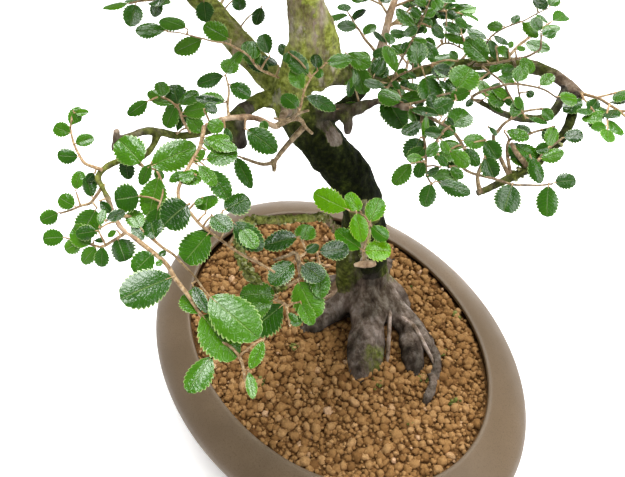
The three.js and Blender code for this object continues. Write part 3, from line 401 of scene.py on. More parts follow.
# Leaves that grow on a branch itself.
BRANCH_LEAVES = dict(
    back_left=[(0.47, -85, 13, 0.8), (0.41, -85, 10, 0.8, 18, 40), (0.34, -105, 12, 0.6, 24, 40)],
    right_front=[
        (0.34, -90, 12, 0.4, 18, 110), (0.8, -75, 9, 0.39), (0.51, -60, 15, 0.58), (0.83, -45, 22, 0.37),
        (0.14, 15, 16, 0.43), (1, -90, 14, 0.29), (0.62, 0, 10, 0.35),
    ],
    right_back=[
        (0.32, 135, 14, 0.64), (0.37, 155, 9, 0.63, 3, -70), (0.34, 30, 7, 0.69, 7, -80),
        (0.286, -30, 18, 0.55, 3, -85), (0.14, -35, 17, 0.55, 10, 90), (0.19, -75, 19, 0.58, 6, 95),
        (0.17, -95, 13, 0.45, 3, 105), (0.235, 95, 16, 0.54, 3, 100), (0.27, 60, 13, 0.66, 2, 95),
        (0.66, -135, 11, 0.51),
    ],
    left=[
        (0.852, -50, 9, 0.51, 4, -160), (0.902, 30, 11, 0.49, 5, -160), (0.91, 80, 10, 0.42, 9, -155),
        (0.3, 65, 5, 0.79),
    ],
    front=[
        (0.98, -15, 9, 0.79), (0.81, -70, 9, 0.44, 5, -80), (0.66, -35, 20, 0.57, 7, -90),
        (0.53, -80, 7, 0.68), (0.94, 15, 7, 1.03, 7, 115),
    ],
)

# Shoots on the rest of the crown: branch, place along it, side, length. Side 0 carries the branch on.
CROWN_SHOOTS = [
    ("back_left", 0.5, 1, 44), ("back_left", 0.66, -1, 48), ("back_left", 0.84, 1, 44),
    ("back_left", 0.96, 0, 42), ("back_low", 0.5, 1, 42), ("back_low", 0.66, -1, 44),
    ("back_low", 0.97, 0, 42), ("right_back", 0.97, 0, 40), ("right_back", 0.66, 1, 44),
    ("left_high", 0.45, 1, 44), ("left_high", 0.7, -1, 44), ("left_high", 0.97, 0, 40),
    ("right_high", 0.45, 1, 44), ("right_high", 0.7, -1, 44), ("right_high", 0.97, 0, 40),
    ("back_high", 0.5, -1, 44), ("back_high", 0.72, 1, 42), ("back_high", 0.97, 0, 38),
    ("back_right_high", 0.55, 1, 40), ("back_right_high", 0.96, 0, 40), ("front_high", 0.5, 1, 38),
    ("front_high", 0.72, -1, 38), ("front_high", 0.97, 0, 34), ("back_left_high", 0.6, -1, 38),
    ("back_left_high", 0.96, 0, 38), ("right_front_high", 0.96, 0, 36), ("left_top", 0.96, 0, 36),
    ("trunk", 0.92, 1, 38), ("trunk", 0.985, 0, 34),
]


# ---------------------------------------------------------------- geometry helpers

def unit(v):
    return v / np.linalg.norm(v)


def scatter(i, j):
    """A number from 0 to 1 that looks random and is the same in each run."""
    s = math.sin(i * 127.1 + j * 311.7) * 43758.5453
    return s - math.floor(s)


def curve_point(route, t):
    """The point at t, from 0 to 1, on a smooth curve through the route's points."""
    p = np.asarray(route, float)
    p = np.vstack([2 * p[0] - p[1], p, 2 * p[-1] - p[-2]])
    spans = len(route) - 1
    place = min(max(t, 0), 1) * spans
    k = min(int(place), spans - 1)
    w = place - k
    a, b, c, d = p[k : k + 4]
    return 0.5 * (2 * b + (c - a) * w + (2 * a - 5 * b + 4 * c - d) * w**2 + (3 * b - a - 3 * c + d) * w**3)


def curve_heading(route, t):
    step = 0.004
    return unit(curve_point(route, min(t + step, 1)) - curve_point(route, max(t - step, 0)))


def curve_length(route):
    steps = 60
    points = [curve_point(route, k / steps) for k in range(steps + 1)]
    return sum(np.linalg.norm(b - a) for a, b in zip(points, points[1:]))


def radius_at(radii, t):
    return float(np.interp(t * (len(radii) - 1), range(len(radii)), radii))


def turned(v, axis, angle):
    return np.array(Matrix.Rotation(angle, 3, Vector(axis)) @ Vector(v))


def to_world(points):
    """Tree-frame millimetres to metres in the object's frame."""
    p = np.asarray(points, float)
    c, s = math.cos(TREE_TURN), math.sin(TREE_TURN)
    out = np.empty_like(p)
    out[:, 0] = c * p[:, 0] - s * p[:, 1] + POT_CENTRE[0]
    out[:, 1] = s * p[:, 0] + c * p[:, 1] + POT_CENTRE[1]
    out[:, 2] = p[:, 2] + RIM_HEIGHT
    return out * MM


def finish_piece(piece, slot, *nodes):
    """Put a piece on the root. It may replace nodes of the solid model, or else it is added to them."""
    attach(piece, "root")
    if nodes:
        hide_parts(*nodes)


def turned_back(x, y):
    """A place on the object's plan, from the pot's middle, in the tree's frame."""
    c, s = math.cos(TREE_TURN), math.sin(TREE_TURN)
    return c * x + s * y, c * y - s * x


def to_tree(points):
    """Metres in the object's frame to tree-frame millimetres."""
    p = points / MM - POT_CENTRE
    return np.stack([*turned_back(p[:, 0], p[:, 1]), p[:, 2] - RIM_HEIGHT], 1)


class Shape:
    """Collects vertices, faces, a paint value for each vertex, and a material for each face."""

    def __init__(self):
        self.verts, self.paint, self.faces, self.slots = [], [], [], []
        self.count = 0

    def add(self, verts, faces, paint=(0, 0, 0.5), slot=0):
        verts = np.asarray(verts, float)
        self.verts.append(verts)
        self.paint.append(np.broadcast_to(np.asarray(paint, float), (len(verts), 3)))
        self.add_faces(faces, self.count, slot)
        self.count += len(verts)

    def add_faces(self, faces, start, slot):
        self.faces.extend([tuple(i + start for i in f) for f in faces])
        self.slots.extend([slot] * len(faces))

    def mesh(self, name, materials, tree=True, sharp=None):
        points = np.vstack(self.verts)
        points = to_world(points) if tree else (points + POT_CENTRE) * MM
        mesh = bpy.data.meshes.new(name)
        mesh.from_pydata(points.tolist(), [], self.faces)
        mesh.polygons.foreach_set("material_index", self.slots)
        mesh.polygons.foreach_set("use_smooth", [True] * len(self.faces))
        paint = mesh.color_attributes.new("paint", "FLOAT_COLOR", "POINT")
        rgba = np.hstack([np.vstack(self.paint), np.ones((self.count, 1))])
        paint.data.foreach_set("color", rgba.ravel())
        for material in materials:
            mesh.materials.append(material)
        if sharp:
            mesh.set_sharp_from_angle(angle=math.radians(sharp))
        piece = bpy.data.objects.new(name, mesh)
        bpy.context.scene.collection.objects.link(piece)
        return piece


def band(a, b, sides):
    """Faces between two closed rings of points, which start at a and b."""
    return [(a + i, b + i, b + (i + 1) % sides, a + (i + 1) % sides) for i in range(sides)]


def tube(route, radii, sides, spacing, wobble=0.0, seed=0):
    """A closed round limb along a route, with its radius wandering a little."""
    rings = max(2, round(curve_length(route) / spacing))
    # Any direction will do to start with, so long as no limb starts along it.
    across = np.array([1.0, 0.13, 0.07])
    verts = []
    for k in range(rings + 1):
        t = k / rings
        centre = curve_point(route, t)
        along = curve_heading(route, t)
        across = unit(across - along * np.dot(across, along))
        up = np.cross(across, along)
        base = radius_at(radii, t)
        for i in range(sides):
            turn = 2 * math.pi * i / sides
            out = math.cos(turn) * across + math.sin(turn) * up
            swell = 1
            if wobble:
                swell += wobble * noise.noise(Vector(centre * 0.09 + out * 1.3 + seed * 7.3))
            verts.append(centre + out * base * swell)
    faces = []
    for k in range(rings):
        faces += band(k * sides, (k + 1) * sides, sides)
    verts.append(curve_point(route, 0))
    verts.append(curve_point(route, 1) + curve_heading(route, 1) * radii[-1] * 0.5)
    first, last = len(verts) - 2, len(verts) - 1
    end = rings * sides
    for i in range(sides):
        j = (i + 1) % sides
        faces.append((first, i, j))
        faces.append((last, end + j, end + i))
    return verts, faces


# ---------------------------------------------------------------- leaves

# Where the points of a leaf's upper side, and of its lower side between the edges, lie across it.
FINE_LANES = ((-1, -0.7, -0.35, 0, 0.35, 0.7, 1), (-0.6, 0, 0.6))
PLAIN_LANES = ((-1, -0.5, 0, 0.5, 1), (0,))
# A tooth's points: share of its length, and how far the edge stands out there.
FINE_TOOTH = ((0.1, -0.6), (0.55, 0.5), (0.98, 1))
PLAIN_TOOTH = ((0.15, -0.5), (0.95, 0.9))
# Teeth on each side of a finely made leaf that is shorter than the first number.
FINE_TEETH = ((11, 5), (16, 6), (23, 8), (math.inf, 10))
PLAIN_TEETH = 6
# The materials of a leafy piece, by their place in its list.
WOODY, BLADE, UNDERSIDE = 0, 1, 2


def leaf_rows(teeth, tooth):
    """Places along a leaf as (share of its length, how far the edge stands out there)."""
    rows = [(0, 0), (0.05, 0)]
    for k in range(teeth):
        rows += [(0.09 + 0.87 * (k + share) / teeth, out) for share, out in tooth]
    return np.array(rows + [(1, 0)])


def leaf_faces(rows, lanes):
    """Faces of a leaf's upper and lower side, which share the toothed edge."""
    upper, lower = len(lanes[0]), len(lanes[1]) + 2
    size = rows * upper

    def low(i, j):
        if j in (0, lower - 1):
            return i * upper + (0 if j == 0 else upper - 1)
        return size + i * (lower - 2) + j - 1

    top, bottom = [], []
    for i in range(rows - 1):
        for j in range(upper - 1):
            a = i * upper + j
            top.append((a, a + upper, a + upper + 1, a + 1))
        for j in range(lower - 1):
            bottom.append((low(i, j), low(i, j + 1), low(i + 1, j + 1), low(i + 1, j)))
    for i in (0, rows - 1):
        ring = [i * upper + j for j in range(upper)] + [low(i, j) for j in range(lower - 2, 0, -1)]
        bottom.append(tuple(ring if i == 0 else ring[::-1]))
    return top, bottom


def half_width(u, peak, foot, blunt):
    """Share of the leaf's half width at u, which runs from stalk to tip."""
    rising = np.sin(math.pi / 2 * np.clip(u / peak, 0, 1)) ** foot
    falling = np.cos(math.pi / 2 * np.clip((u - peak) / (1 - peak), 0, 1)) ** blunt
    return 0.03 + 0.97 * np.where(u < peak, rising, falling)


LEAF_KINDS = {}


def leaf_kind(length, fine):
    """Rows, lanes and faces of a leaf of this length, made once for each count of teeth."""
    teeth = next(count for limit, count in FINE_TEETH if length < limit) if fine else PLAIN_TEETH
    if (teeth, fine) not in LEAF_KINDS:
        lanes = FINE_LANES if fine else PLAIN_LANES
        rows = leaf_rows(teeth, FINE_TOOTH if fine else PLAIN_TOOTH)
        LEAF_KINDS[teeth, fine] = rows, lanes, leaf_faces(len(rows), lanes)
    return LEAF_KINDS[teeth, fine]


# A tooth stands out by this share of the leaf's half width, and by this many millimetres at most.
TOOTH_SHARE, TOOTH_DEPTH = 0.115, 0.85
# The underside lies this far below the upper side, but for the edge.
BLADE_THICKNESS = 0.3
# The stalk's points: share of the leaf's length, and how far they lie under the blade.
STALK = ((0, 0), (0.09, 0.1), (0.2, 0.25))


def add_leaf(shape, base, heading, normal, length, aspect, seed, fine=True):
    """A toothed blade on a short stalk, folded or arched about its rib, with a drooping tip."""
    rows, lanes, (top, bottom) = leaf_kind(length, fine)
    side = np.cross(normal, heading)
    half = length * aspect / 2
    stalk = min(2, length * 0.1)
    u = rows[:, 0]
    round_off = min(max((aspect - 0.45) / 0.35, 0), 1)
    foot = 0.85 - 0.35 * round_off
    blunt = 0.6 - 0.2 * round_off + 0.12 * (scatter(seed, 2) - 0.5)
    wide = half * half_width(u, 0.46 + 0.12 * scatter(seed, 1), foot, blunt)
    droop = (0.02 + 0.15 * scatter(seed, 3)) * length
    fold = 0.05 + 0.4 * scatter(seed, 4)
    arch = 0.1 + 0.45 * scatter(seed, 9)
    bend = (scatter(seed, 5) - 0.5) * 0.14 * length
    wave = (scatter(seed, 6) - 0.5) * 0.5
    tint = scatter(seed, 7)
    bite = min(TOOTH_SHARE, TOOTH_DEPTH / half)
    points, paint = [], []
    for row, lane_set in enumerate(lanes):
        x = np.array(lane_set)[None, :]
        edge = np.abs(x) == 1
        out = wide[:, None] * x * np.where(edge, 1 + bite * rows[:, 1:], 1)
        ripple = wave * np.sin(u * 7 + seed)[:, None] * np.abs(x) ** 2
        height = fold * np.abs(out) - arch * out**2 / half + ripple
        height = height - (droop * u**2)[:, None] - (BLADE_THICKNESS if row else 0)
        along = (stalk + (length - stalk) * u)[:, None] + 0 * x
        across = out + (bend * u**2)[:, None]
        grid = along[..., None] * heading + across[..., None] * side + height[..., None] * normal
        points.append((base + grid).reshape(-1, 3))
        marks = np.stack([u[:, None] + 0 * x, np.abs(x) + 0 * along, tint + 0 * along], -1)
        paint.append(marks.reshape(-1, 3))
    start = shape.count
    shape.add(np.vstack(points), top, np.vstack(paint), BLADE)
    shape.add_faces(bottom, start, UNDERSIDE)
    stem = [base + heading * length * share - normal * sink for share, sink in STALK]
    shape.add(*tube(stem, [0.5, 0.36, 0.2], sides=5, spacing=1.5), (0.95, 0, tint), WOODY)


def leaf_pose(heading, normal, pitch, roll):
    """The heading and normal of a leaf that is tipped up and rolled to a side."""
    side = unit(np.cross(normal, heading))
    pitched = unit(turned(heading, side, pitch))
    raised = unit(turned(turned(normal, side, pitch), pitched, roll))
    return pitched, raised


VIEW_RIGHT = np.array([1.0, 0, 0])
VIEW_UP = np.array([0, math.sin(VIEW_DOWN), math.cos(VIEW_DOWN)])
VIEW_BACK = np.array([0, -math.cos(VIEW_DOWN), math.sin(VIEW_DOWN)])
UP = np.array([0, 0, 1.0])
# Most front leaves face between the viewer and the sky.
LEAF_FACING = unit(0.72 * VIEW_BACK + 0.28 * UP)
# Some front shoots hold their leaves flatter, so that they catch the light from above.
FLAT_SHOOTS = ("left_front", "left_second", "hanging", "middle_left", "middle_right", "middle_low")
FLAT_FACING = unit(0.42 * VIEW_BACK + 0.58 * UP)
# Others face the viewer and tip less, so that fewer of them shine.
STEEP_SHOOTS = ("left_cluster", "left_upper", "left_tall", "left_outer", "left_edge")
STEEP_FACING = unit(VIEW_BACK - 0.1 * UP)
STEEP_PLAY = 0.4
# How far a leaf's foot stands off the twig's middle, towards the viewer and up.
LEAF_LIFT, LEAF_RAISE = 1.1, 0.5
# The tables hold lengths and widths as seen. A leaf that is tilted and folded is a little larger than it
# looks, so these enlarge its length and its width over length.
LEAF_GAIN = 1.04
LEAF_BREADTH = 1.05


def view_heading(degrees):
    """A direction that seems to run at this angle, seen as the photographer saw the tree."""
    angle = math.radians(degrees)
    return VIEW_RIGHT * math.cos(angle) + VIEW_UP * math.sin(angle)


def front_leaf(shape, route, leaf, index, k, facing=LEAF_FACING, stand_off=0.0):
    """A leaf of the tables, on a twiglet of its own if it has one, as it is seen from the front."""
    place, degrees, length, aspect, *twiglet = leaf
    base = curve_point(route, place)
    if twiglet:
        reach, bearing = twiglet
        tip = base + view_heading(bearing) * reach + VIEW_BACK * (0.15 * reach + stand_off)
        stand_off = 0
        middle = (base + tip) / 2 + UP * 0.12 * reach
        stem = tube([base, middle, tip], [0.65, 0.55, 0.45], sides=6, spacing=2)
        shape.add(*stem, (0.8, 0, scatter(index, k)), WOODY)
        base = tip
    play = STEEP_PLAY if facing is STEEP_FACING else 1
    pitch = (scatter(index, k) - 0.45) * 0.5 * play
    roll = (scatter(index + 50, k) - 0.5) * 0.6 * play
    flat = view_heading(degrees)
    flat = unit(flat - facing * np.dot(flat, facing))
    heading, normal = leaf_pose(flat, facing, pitch, roll)
    start = base + VIEW_BACK * (LEAF_LIFT + stand_off) + VIEW_UP * LEAF_RAISE - heading * 0.02 * length
    gain = LEAF_GAIN / np.dot(facing, VIEW_BACK)
    add_leaf(shape, start, heading, normal, length * gain, aspect * LEAF_BREADTH, index * 31 + k)


def side_leaf(shape, route, place, turn, length, aspect, seed):
    """A leaf that leaves its twig at an angle and faces up."""
    along = curve_heading(route, place)
    heading = unit(turned(along, UP, turn))
    side = np.cross(UP, heading)
    if np.linalg.norm(side) < 0.2:
        side = np.array([1.0, 0, 0])
    normal = np.cross(heading, unit(side))
    pitch = (scatter(seed, 20) - 0.35) * 0.7
    roll = (scatter(seed, 21) - 0.5) * 0.9
    heading, normal = leaf_pose(heading, normal, pitch, roll)
    add_leaf(shape, curve_point(route, place), heading, normal, length, aspect, seed, fine=False)


# A twig's nodes stand this far apart, and it bends this far to either side there.
NODE_SPACING, NODE_BEND = 8, 0.2


def add_twig(shape, route, radius, seed, young, sides=8):
    """A twig that thins towards its tip and bends a little at each node."""
    count = max(3, round(curve_length(route) / NODE_SPACING))
    points = []
    for k in range(count + 1):
        point = curve_point(route, k / count)
        if 0 < k < count:
            along = curve_heading(route, k / count)
            point = point + unit(np.cross(along, VIEW_BACK)) * (NODE_BEND if k % 2 else -NODE_BEND)
        points.append(point)
    radii = [radius * (1.1 - 0.55 * k / count) for k in range(count + 1)]
    wood = tube(points, radii, sides, spacing=2, wobble=0.16, seed=seed)
    shape.add(*wood, (young, 0, scatter(seed, 9)), WOODY)


def fill_leaves(shape, route, start, stop, spacing, size, seed):
    """Alternate small leaves along a stretch of twig."""
    count = max(1, round((stop - start) * curve_length(route) / spacing))
    for k in range(count):
        place = start + (stop - start) * (k + 0.5) / count
        turn = (1 if k % 2 else -1) * (0.8 + 0.4 * scatter(seed, k))
        leaf = size * (0.75 + 0.5 * scatter(seed + 3, k))
        side_leaf(shape, route, place, turn, leaf, 0.55 + 0.2 * scatter(seed + 5, k), seed * 17 + k)


def side_route(route, place, turn, length, seed):
    """A gently bent way off a route: level at first, then rising."""
    start = curve_point(route, place)
    along = curve_heading(route, place)
    flat = np.array([along[0], along[1], along[2] * 0.4])
    if np.linalg.norm(flat[:2]) < 0.3:
        flat = np.array([math.cos(seed * 2.4), math.sin(seed * 2.4), 0.1])
    flat = unit(turned(flat, UP, turn))
    across = np.cross(UP, flat)
    bend = (scatter(seed, 12) - 0.5) * 0.6
    rise = 0.1 + 0.4 * scatter(seed, 13)
    points = []
    for share in (0, 0.35, 0.7, 1):
        lift = UP * rise * share * length * (1 - 0.5 * share)
        points.append(start + flat * share * length + across * bend * share * share * length + lift)
    return points


def side_twig(shape, route, place, turn, length, size, seed):
    """A thin twig off another one, with its leaves."""
    points = side_route(route, place, turn, length, seed)
    add_twig(shape, points, radius=0.75, seed=seed, young=0.8, sides=6)
    fill_leaves(shape, points, start=0.2, stop=0.98, spacing=6, size=size, seed=seed + 400)
    sway = 0.2 - 0.4 * scatter(seed, 14)
    side_leaf(shape, points, place=0.99, turn=sway, length=size, aspect=0.6, seed=seed + 900)


def crown_route(spec, index):
    """The way of a crown shoot, just as the solid model has it."""
    branch_name, place, side, length = spec
    branch = TRUNK if branch_name == "trunk" else BRANCHES[branch_name]
    start = curve_point(branch["route"], place)
    along = curve_heading(branch["route"], place)
    flat = np.array([along[0], along[1], 0])
    if np.linalg.norm(flat) < 0.3:
        flat = np.array([math.cos(index * 2.4), math.sin(index * 2.4), 0])
    flat = turned(unit(flat), UP, side * (0.85 + 0.3 * scatter(index, 1)))
    across = np.array([-flat[1], flat[0], 0])
    rise = 0.25 + 0.35 * scatter(index, 2)
    bend = (scatter(index, 3) - 0.5) * 0.5
    route = []
    for share in (0, 0.36, 0.7, 1):
        point = start + flat * share * length + across * bend * share * share * length
        route.append(point + UP * rise * share * length * (1 - 0.45 * share))
    return route


# ---------------------------------------------------------------- materials

def srgb(r, g, b):
    """A colour as a screen shows it, from 0 to 255, in the linear form that the shaders take."""
    def lin(c):
        c /= 255
        return c / 12.92 if c <= 0.04045 else ((c + 0.055) / 1.055) ** 2.4

    return (lin(r), lin(g), lin(b), 1)


class Paint:
    """A material and the few node links that every surface here needs."""

    def __init__(self, name, roughness, specular=0.5):
        self.material = bpy.data.materials.new(name)
        self.material.use_nodes = True
        self.nodes = self.material.node_tree.nodes
        self.links = self.material.node_tree.links
        self.shader = self.nodes["Principled BSDF"]
        self.shader.inputs["Roughness"].default_value = roughness
        self.shader.inputs["Specular IOR Level"].default_value = specular
        self.where = self.nodes.new("ShaderNodeTexCoord").outputs["Object"]

    def node(self, kind, inputs=None, **settings):
        made = self.nodes.new("ShaderNode" + kind)
        for key, value in settings.items():
            setattr(made, key, value)
        for key, value in (inputs or {}).items():
            if isinstance(value, bpy.types.NodeSocket):
                self.links.new(value, made.inputs[key])
            else:
                made.inputs[key].default_value = value
        return made

    def noise(self, scale, detail=4, roughness=0.6, where=None):
        inputs = {"Vector": where or self.where, "Scale": scale, "Detail": detail, "Roughness": roughness}
        return self.node("TexNoise", inputs).outputs["Fac"]

    def cells(self, scale):
        return self.node("TexVoronoi", {"Vector": self.where, "Scale": scale}).outputs["Distance"]

    def ramp(self, value, *stops):
        """Each stop is (place, colour), where a number stands for a grey."""
        made = self.node("ValToRGB", {"Fac": value})
        elements = made.color_ramp.elements
        while len(elements) < len(stops):
            elements.new(0.5)
        for element, (place, colour) in zip(elements, stops):
            element.position = place
            element.color = colour if isinstance(colour, tuple) else (colour, colour, colour, 1)
        return made.outputs["Color"]

    def tones(self, value, *stops):
        """A ramp of colours. Each stop is (place, red, green, blue), as a screen shows them."""
        return self.ramp(value, *[(place, srgb(*colour)) for place, *colour in stops])

    def math(self, operation, a, b=0.0):
        return self.node("Math", {0: a, 1: b}, operation=operation).outputs[0]

    def times(self, a, b):
        return self.math("MULTIPLY", a, b)

    def plus(self, a, b):
        return self.math("ADD", a, b)

    def minus(self, a, b):
        return self.math("SUBTRACT", a, b)

    def mix(self, share, a, b, blend="MIX"):
        return self.node("Mix", {0: share, 6: a, 7: b}, data_type="RGBA", blend_type=blend).outputs[2]

    def painted(self):
        """The three paint values that a Shape's points carry."""
        paint = self.node("Attribute", attribute_name="paint").outputs["Color"]
        return self.node("SeparateXYZ", {0: paint}).outputs

    def colour(self, value):
        self.links.new(value, self.shader.inputs["Base Color"])

    def roughness(self, value):
        self.links.new(value, self.shader.inputs["Roughness"])

    def bump(self, *layers):
        """Each layer is (height value, depth in metres)."""
        normal = None
        for value, depth in layers:
            inputs = {"Height": value, "Distance": depth, "Strength": 1.0}
            if normal:
                inputs["Normal"] = normal
            normal = self.node("Bump", inputs).outputs["Normal"]
        self.links.new(normal, self.shader.inputs["Normal"])


def clay_material():
    p = Paint("pot_clay", 0.55, 0.35)
    cloud = p.noise(14, 3)
    grain = p.noise(1100, 3)
    base = p.tones(cloud, (0.3, 99, 82, 61), (0.52, 108, 90, 69), (0.75, 119, 100, 77))
    speck = p.ramp(grain, (0.3, 0.0), (0.5, 1.0))
    p.colour(p.mix(speck, srgb(92, 76, 56), base))
    p.roughness(p.ramp(p.noise(40, 4), (0.3, 0.42), (0.7, 0.56)))
    p.bump((grain, 0.00008), (cloud, 0.0008))
    return p.material


def soil_material():
    p = Paint("soil_dust", 0.95, 0.2)
    grit = p.noise(260, 5, 0.7)
    p.colour(p.tones(grit, (0.32, 84, 56, 28), (0.5, 124, 88, 50), (0.7, 150, 108, 66)))
    p.bump((grit, 0.002))
    return p.material


def grain_material():
    """Fired clay crumbs: each its own tan, with darker pits and dust."""
    p = Paint("soil_grains", 0.92, 0.22)
    _, _, tint = p.painted()
    fleck = p.noise(420, 4, 0.7)
    tone = p.tones(
        tint, (0.0, 104, 70, 36), (0.3, 142, 104, 60), (0.6, 168, 128, 80), (0.86, 190, 150, 102),
        (1.0, 216, 178, 140),
    )
    p.colour(p.mix(p.ramp(fleck, (0.36, 0.5), (0.6, 0.0)), tone, srgb(120, 82, 42)))
    p.bump((fleck, 0.0007))
    return p.material


def bark_material():
    """Fissured bark. Its paint says how far it is young tan bark, how mossy, and how pale with lichen;
    where the tan is lowest the bark is also darkened, as painted shade.
    """
    p = Paint("bark", 0.9, 0.06)
    tan, moss, pale = p.painted()
    stretched = p.node("Mapping", {"Vector": p.where, "Scale": (1, 1, 0.3)}).outputs[0]
    aside = {"Vector": p.where, "Location": (3, 1, 2), "Scale": (1, 1, 0.5)}
    elsewhere = p.node("Mapping", aside).outputs[0]
    crack = p.noise(130, 6, 0.7, stretched)
    plates = p.noise(45, 5, 0.6, stretched)
    old = p.tones(crack, (0.32, 13, 13, 13), (0.48, 48, 46, 43), (0.6, 90, 87, 81), (0.72, 128, 123, 114))
    young = p.tones(crack, (0.34, 112, 86, 64), (0.5, 178, 148, 118), (0.66, 222, 196, 166))
    wood = p.mix(tan, old, young)
    bare = p.ramp(p.noise(42, 5, 0.66, elsewhere), (0.42, 0.0), (0.56, 1.0))
    pinkish = p.tones(crack, (0.3, 106, 88, 74), (0.5, 180, 160, 146), (0.7, 226, 208, 204))
    weathered = p.mix(p.times(bare, pale), wood, pinkish)
    growth = p.plus(p.noise(24, 7, 0.66, stretched), p.times(moss, 0.5))
    reach = p.minus(growth, 0.7)
    moss_mask = p.ramp(p.times(reach, 9.0), (0.0, 0.0), (1.0, 0.85))
    deep = p.tones(p.noise(300, 4), (0.35, 20, 30, 4), (0.5, 44, 56, 12), (0.66, 80, 90, 28))
    bright = p.tones(p.noise(300, 4), (0.35, 88, 98, 26), (0.5, 144, 156, 56), (0.66, 190, 198, 100))
    mossy = p.mix(moss_mask, weathered, p.mix(p.times(pale, 1.3), deep, bright))
    spots = p.times(p.minus(p.noise(70, 5, 0.7, elsewhere), 0.6), 12.0)
    lichen = p.times(p.ramp(spots, (0.0, 0.0), (1.0, 0.8)), pale)
    aged = p.mix(lichen, mossy, srgb(206, 194, 184))
    # Painted shade: bark with little tan, such as the trunk's middle and the undersides, is multiplied
    # darker in patches, down to a fifth, for the crown's shade on bark that is dark and mossy too.
    painted_shade_patch = p.plus(tan, p.times(p.minus(plates, 0.5), 0.5))
    p.colour(p.mix(1.0, aged, p.ramp(painted_shade_patch, (0.0, 0.2), (0.13, 1.0)), "MULTIPLY"))
    p.bump((crack, 0.0022), (plates, 0.003), (p.noise(700, 3), 0.0004))
    return p.material


def twig_material():
    """Young wood: grey-tan when older, reddish tan near the leaves, with streaks and pale pores."""
    p = Paint("twig", 0.55, 0.4)
    age, _, _ = p.painted()
    grain = p.noise(420, 5, 0.65)
    old = p.tones(grain, (0.34, 66, 54, 36), (0.5, 112, 94, 66), (0.66, 160, 140, 108))
    young = p.tones(grain, (0.34, 130, 98, 62), (0.5, 178, 144, 102), (0.66, 218, 190, 150))
    pores = p.ramp(p.cells(900), (0.1, 0.6), (0.24, 0.0))
    p.colour(p.mix(pores, p.mix(age, old, young), srgb(214, 194, 160)))
    p.bump((grain, 0.0005))
    return p.material


SIDE_VEINS = 9


def vein_wave(p, along, out):
    """A wave along the leaf that peaks on each side vein, which slants on towards the edge."""
    slant = p.minus(along, p.times(out, 0.2))
    return p.math("SINE", p.times(slant, math.tau * SIDE_VEINS))


def leaf_material(name, gloss, shade, middle, light, edge):
    """Dark to light green by leaf, with side veins, a pale rib, a pale rim that is partly a painted
    highlight on the edge, and a leathery gloss.
    """
    p = Paint(name, 0.2, gloss)
    along, out, tint = p.painted()
    wave = vein_wave(p, along, out)
    vein = p.times(p.ramp(wave, (0.78, 0.0), (0.98, 1.0)), p.ramp(out, (0.5, 1.0), (0.95, 0.0)))
    rib = p.ramp(out, (0.0, 1.0), (0.07, 0.0))
    pits = p.cells(850)
    cloud = p.noise(120, 4)
    share = p.plus(p.times(tint, 0.7), p.times(cloud, 0.4))
    body = p.ramp(share, (0.15, shade), (0.5, middle), (0.95, light))
    veined = p.mix(p.times(vein, 0.16), body, light)
    ribbed = p.mix(p.times(rib, 0.28), veined, edge)
    # The rim is the leaf's pale margin and partly a painted highlight that its edge catches.
    p.colour(p.mix(p.ramp(out, (0.92, 0.0), (1.0, 0.85)), ribbed, edge))
    p.roughness(p.ramp(p.noise(200, 3), (0.3, 0.14), (0.7, 0.26)))
    p.bump((vein, -0.0002), (rib, -0.0004), (cloud, 0.0012), (pits, 0.0001), (p.noise(1500, 2), 0.00003))
    p.shader.inputs["Coat Weight"].default_value = 0.15
    p.shader.inputs["Coat Roughness"].default_value = 0.14
    return p.material


def underside_material():
    """The paler, duller back of a leaf, where its veins stand out."""
    p = Paint("leaf_back", 0.6, 0.35)
    along, out, _ = p.painted()
    vein = p.ramp(vein_wave(p, along, out), (0.8, 0.0), (0.98, 1.0))
    body = p.tones(p.noise(150, 4), (0.3, 72, 104, 44), (0.7, 104, 136, 70))
    p.colour(p.mix(p.times(vein, 0.4), body, srgb(150, 178, 120)))
    p.bump((vein, 0.0002), (p.cells(850), 0.0001))
    return p.material


def moss_material():
    p = Paint("moss", 0.95, 0.15)
    _, _, tint = p.painted()
    tone = p.tones(tint, (0.0, 74, 80, 30), (0.5, 126, 130, 64), (1.0, 194, 194, 144))
    p.colour(p.mix(p.ramp(p.noise(600, 4), (0.35, 0.6), (0.6, 0.0)), tone, srgb(44, 50, 16)))
    p.bump((p.noise(500, 4), 0.001))
    return p.material


def mesh_material():
    p = Paint("screen_mesh", 0.55, 0.4)
    p.colour(p.tones(p.noise(300, 3), (0.3, 28, 30, 32), (0.7, 46, 48, 50)))
    p.bump((p.noise(900, 2), 0.0002))
    return p.material


CLAY = clay_material()
DUST = soil_material()
GRAIN = grain_material()
BARK = bark_material()
TWIG = twig_material()
# The last colour of each is the pale rib and rim; on the rim it is partly a painted highlight.
OLD_GREENS = srgb(18, 54, 2), srgb(44, 93, 0), srgb(78, 130, 12), srgb(176, 200, 124)
NEW_GREENS = srgb(50, 108, 0), srgb(74, 136, 0), srgb(108, 166, 0), srgb(206, 224, 110)
LEAF = leaf_material("leaf", 0.42, *OLD_GREENS)
NEW_LEAF = leaf_material("new_leaf", 0.25, *NEW_GREENS)
LEAF_BACK = underside_material()
MOSS = moss_material()


# ---------------------------------------------------------------- pot

def oval(r):
    """Width over length of the pot's plan where it reaches out this far."""
    share = min(max((r - MOUTH_HALF_LENGTH) / (BODY_HALF_LENGTH - MOUTH_HALF_LENGTH), 0), 1)
    return MOUTH_ASPECT + (BODY_ASPECT - MOUTH_ASPECT) * share


def oval_ring(r, sides):
    turns = [2 * math.pi * i / sides for i in range(sides)]
    return [(r * math.cos(turn), r * math.sin(turn) * oval(r)) for turn in turns]


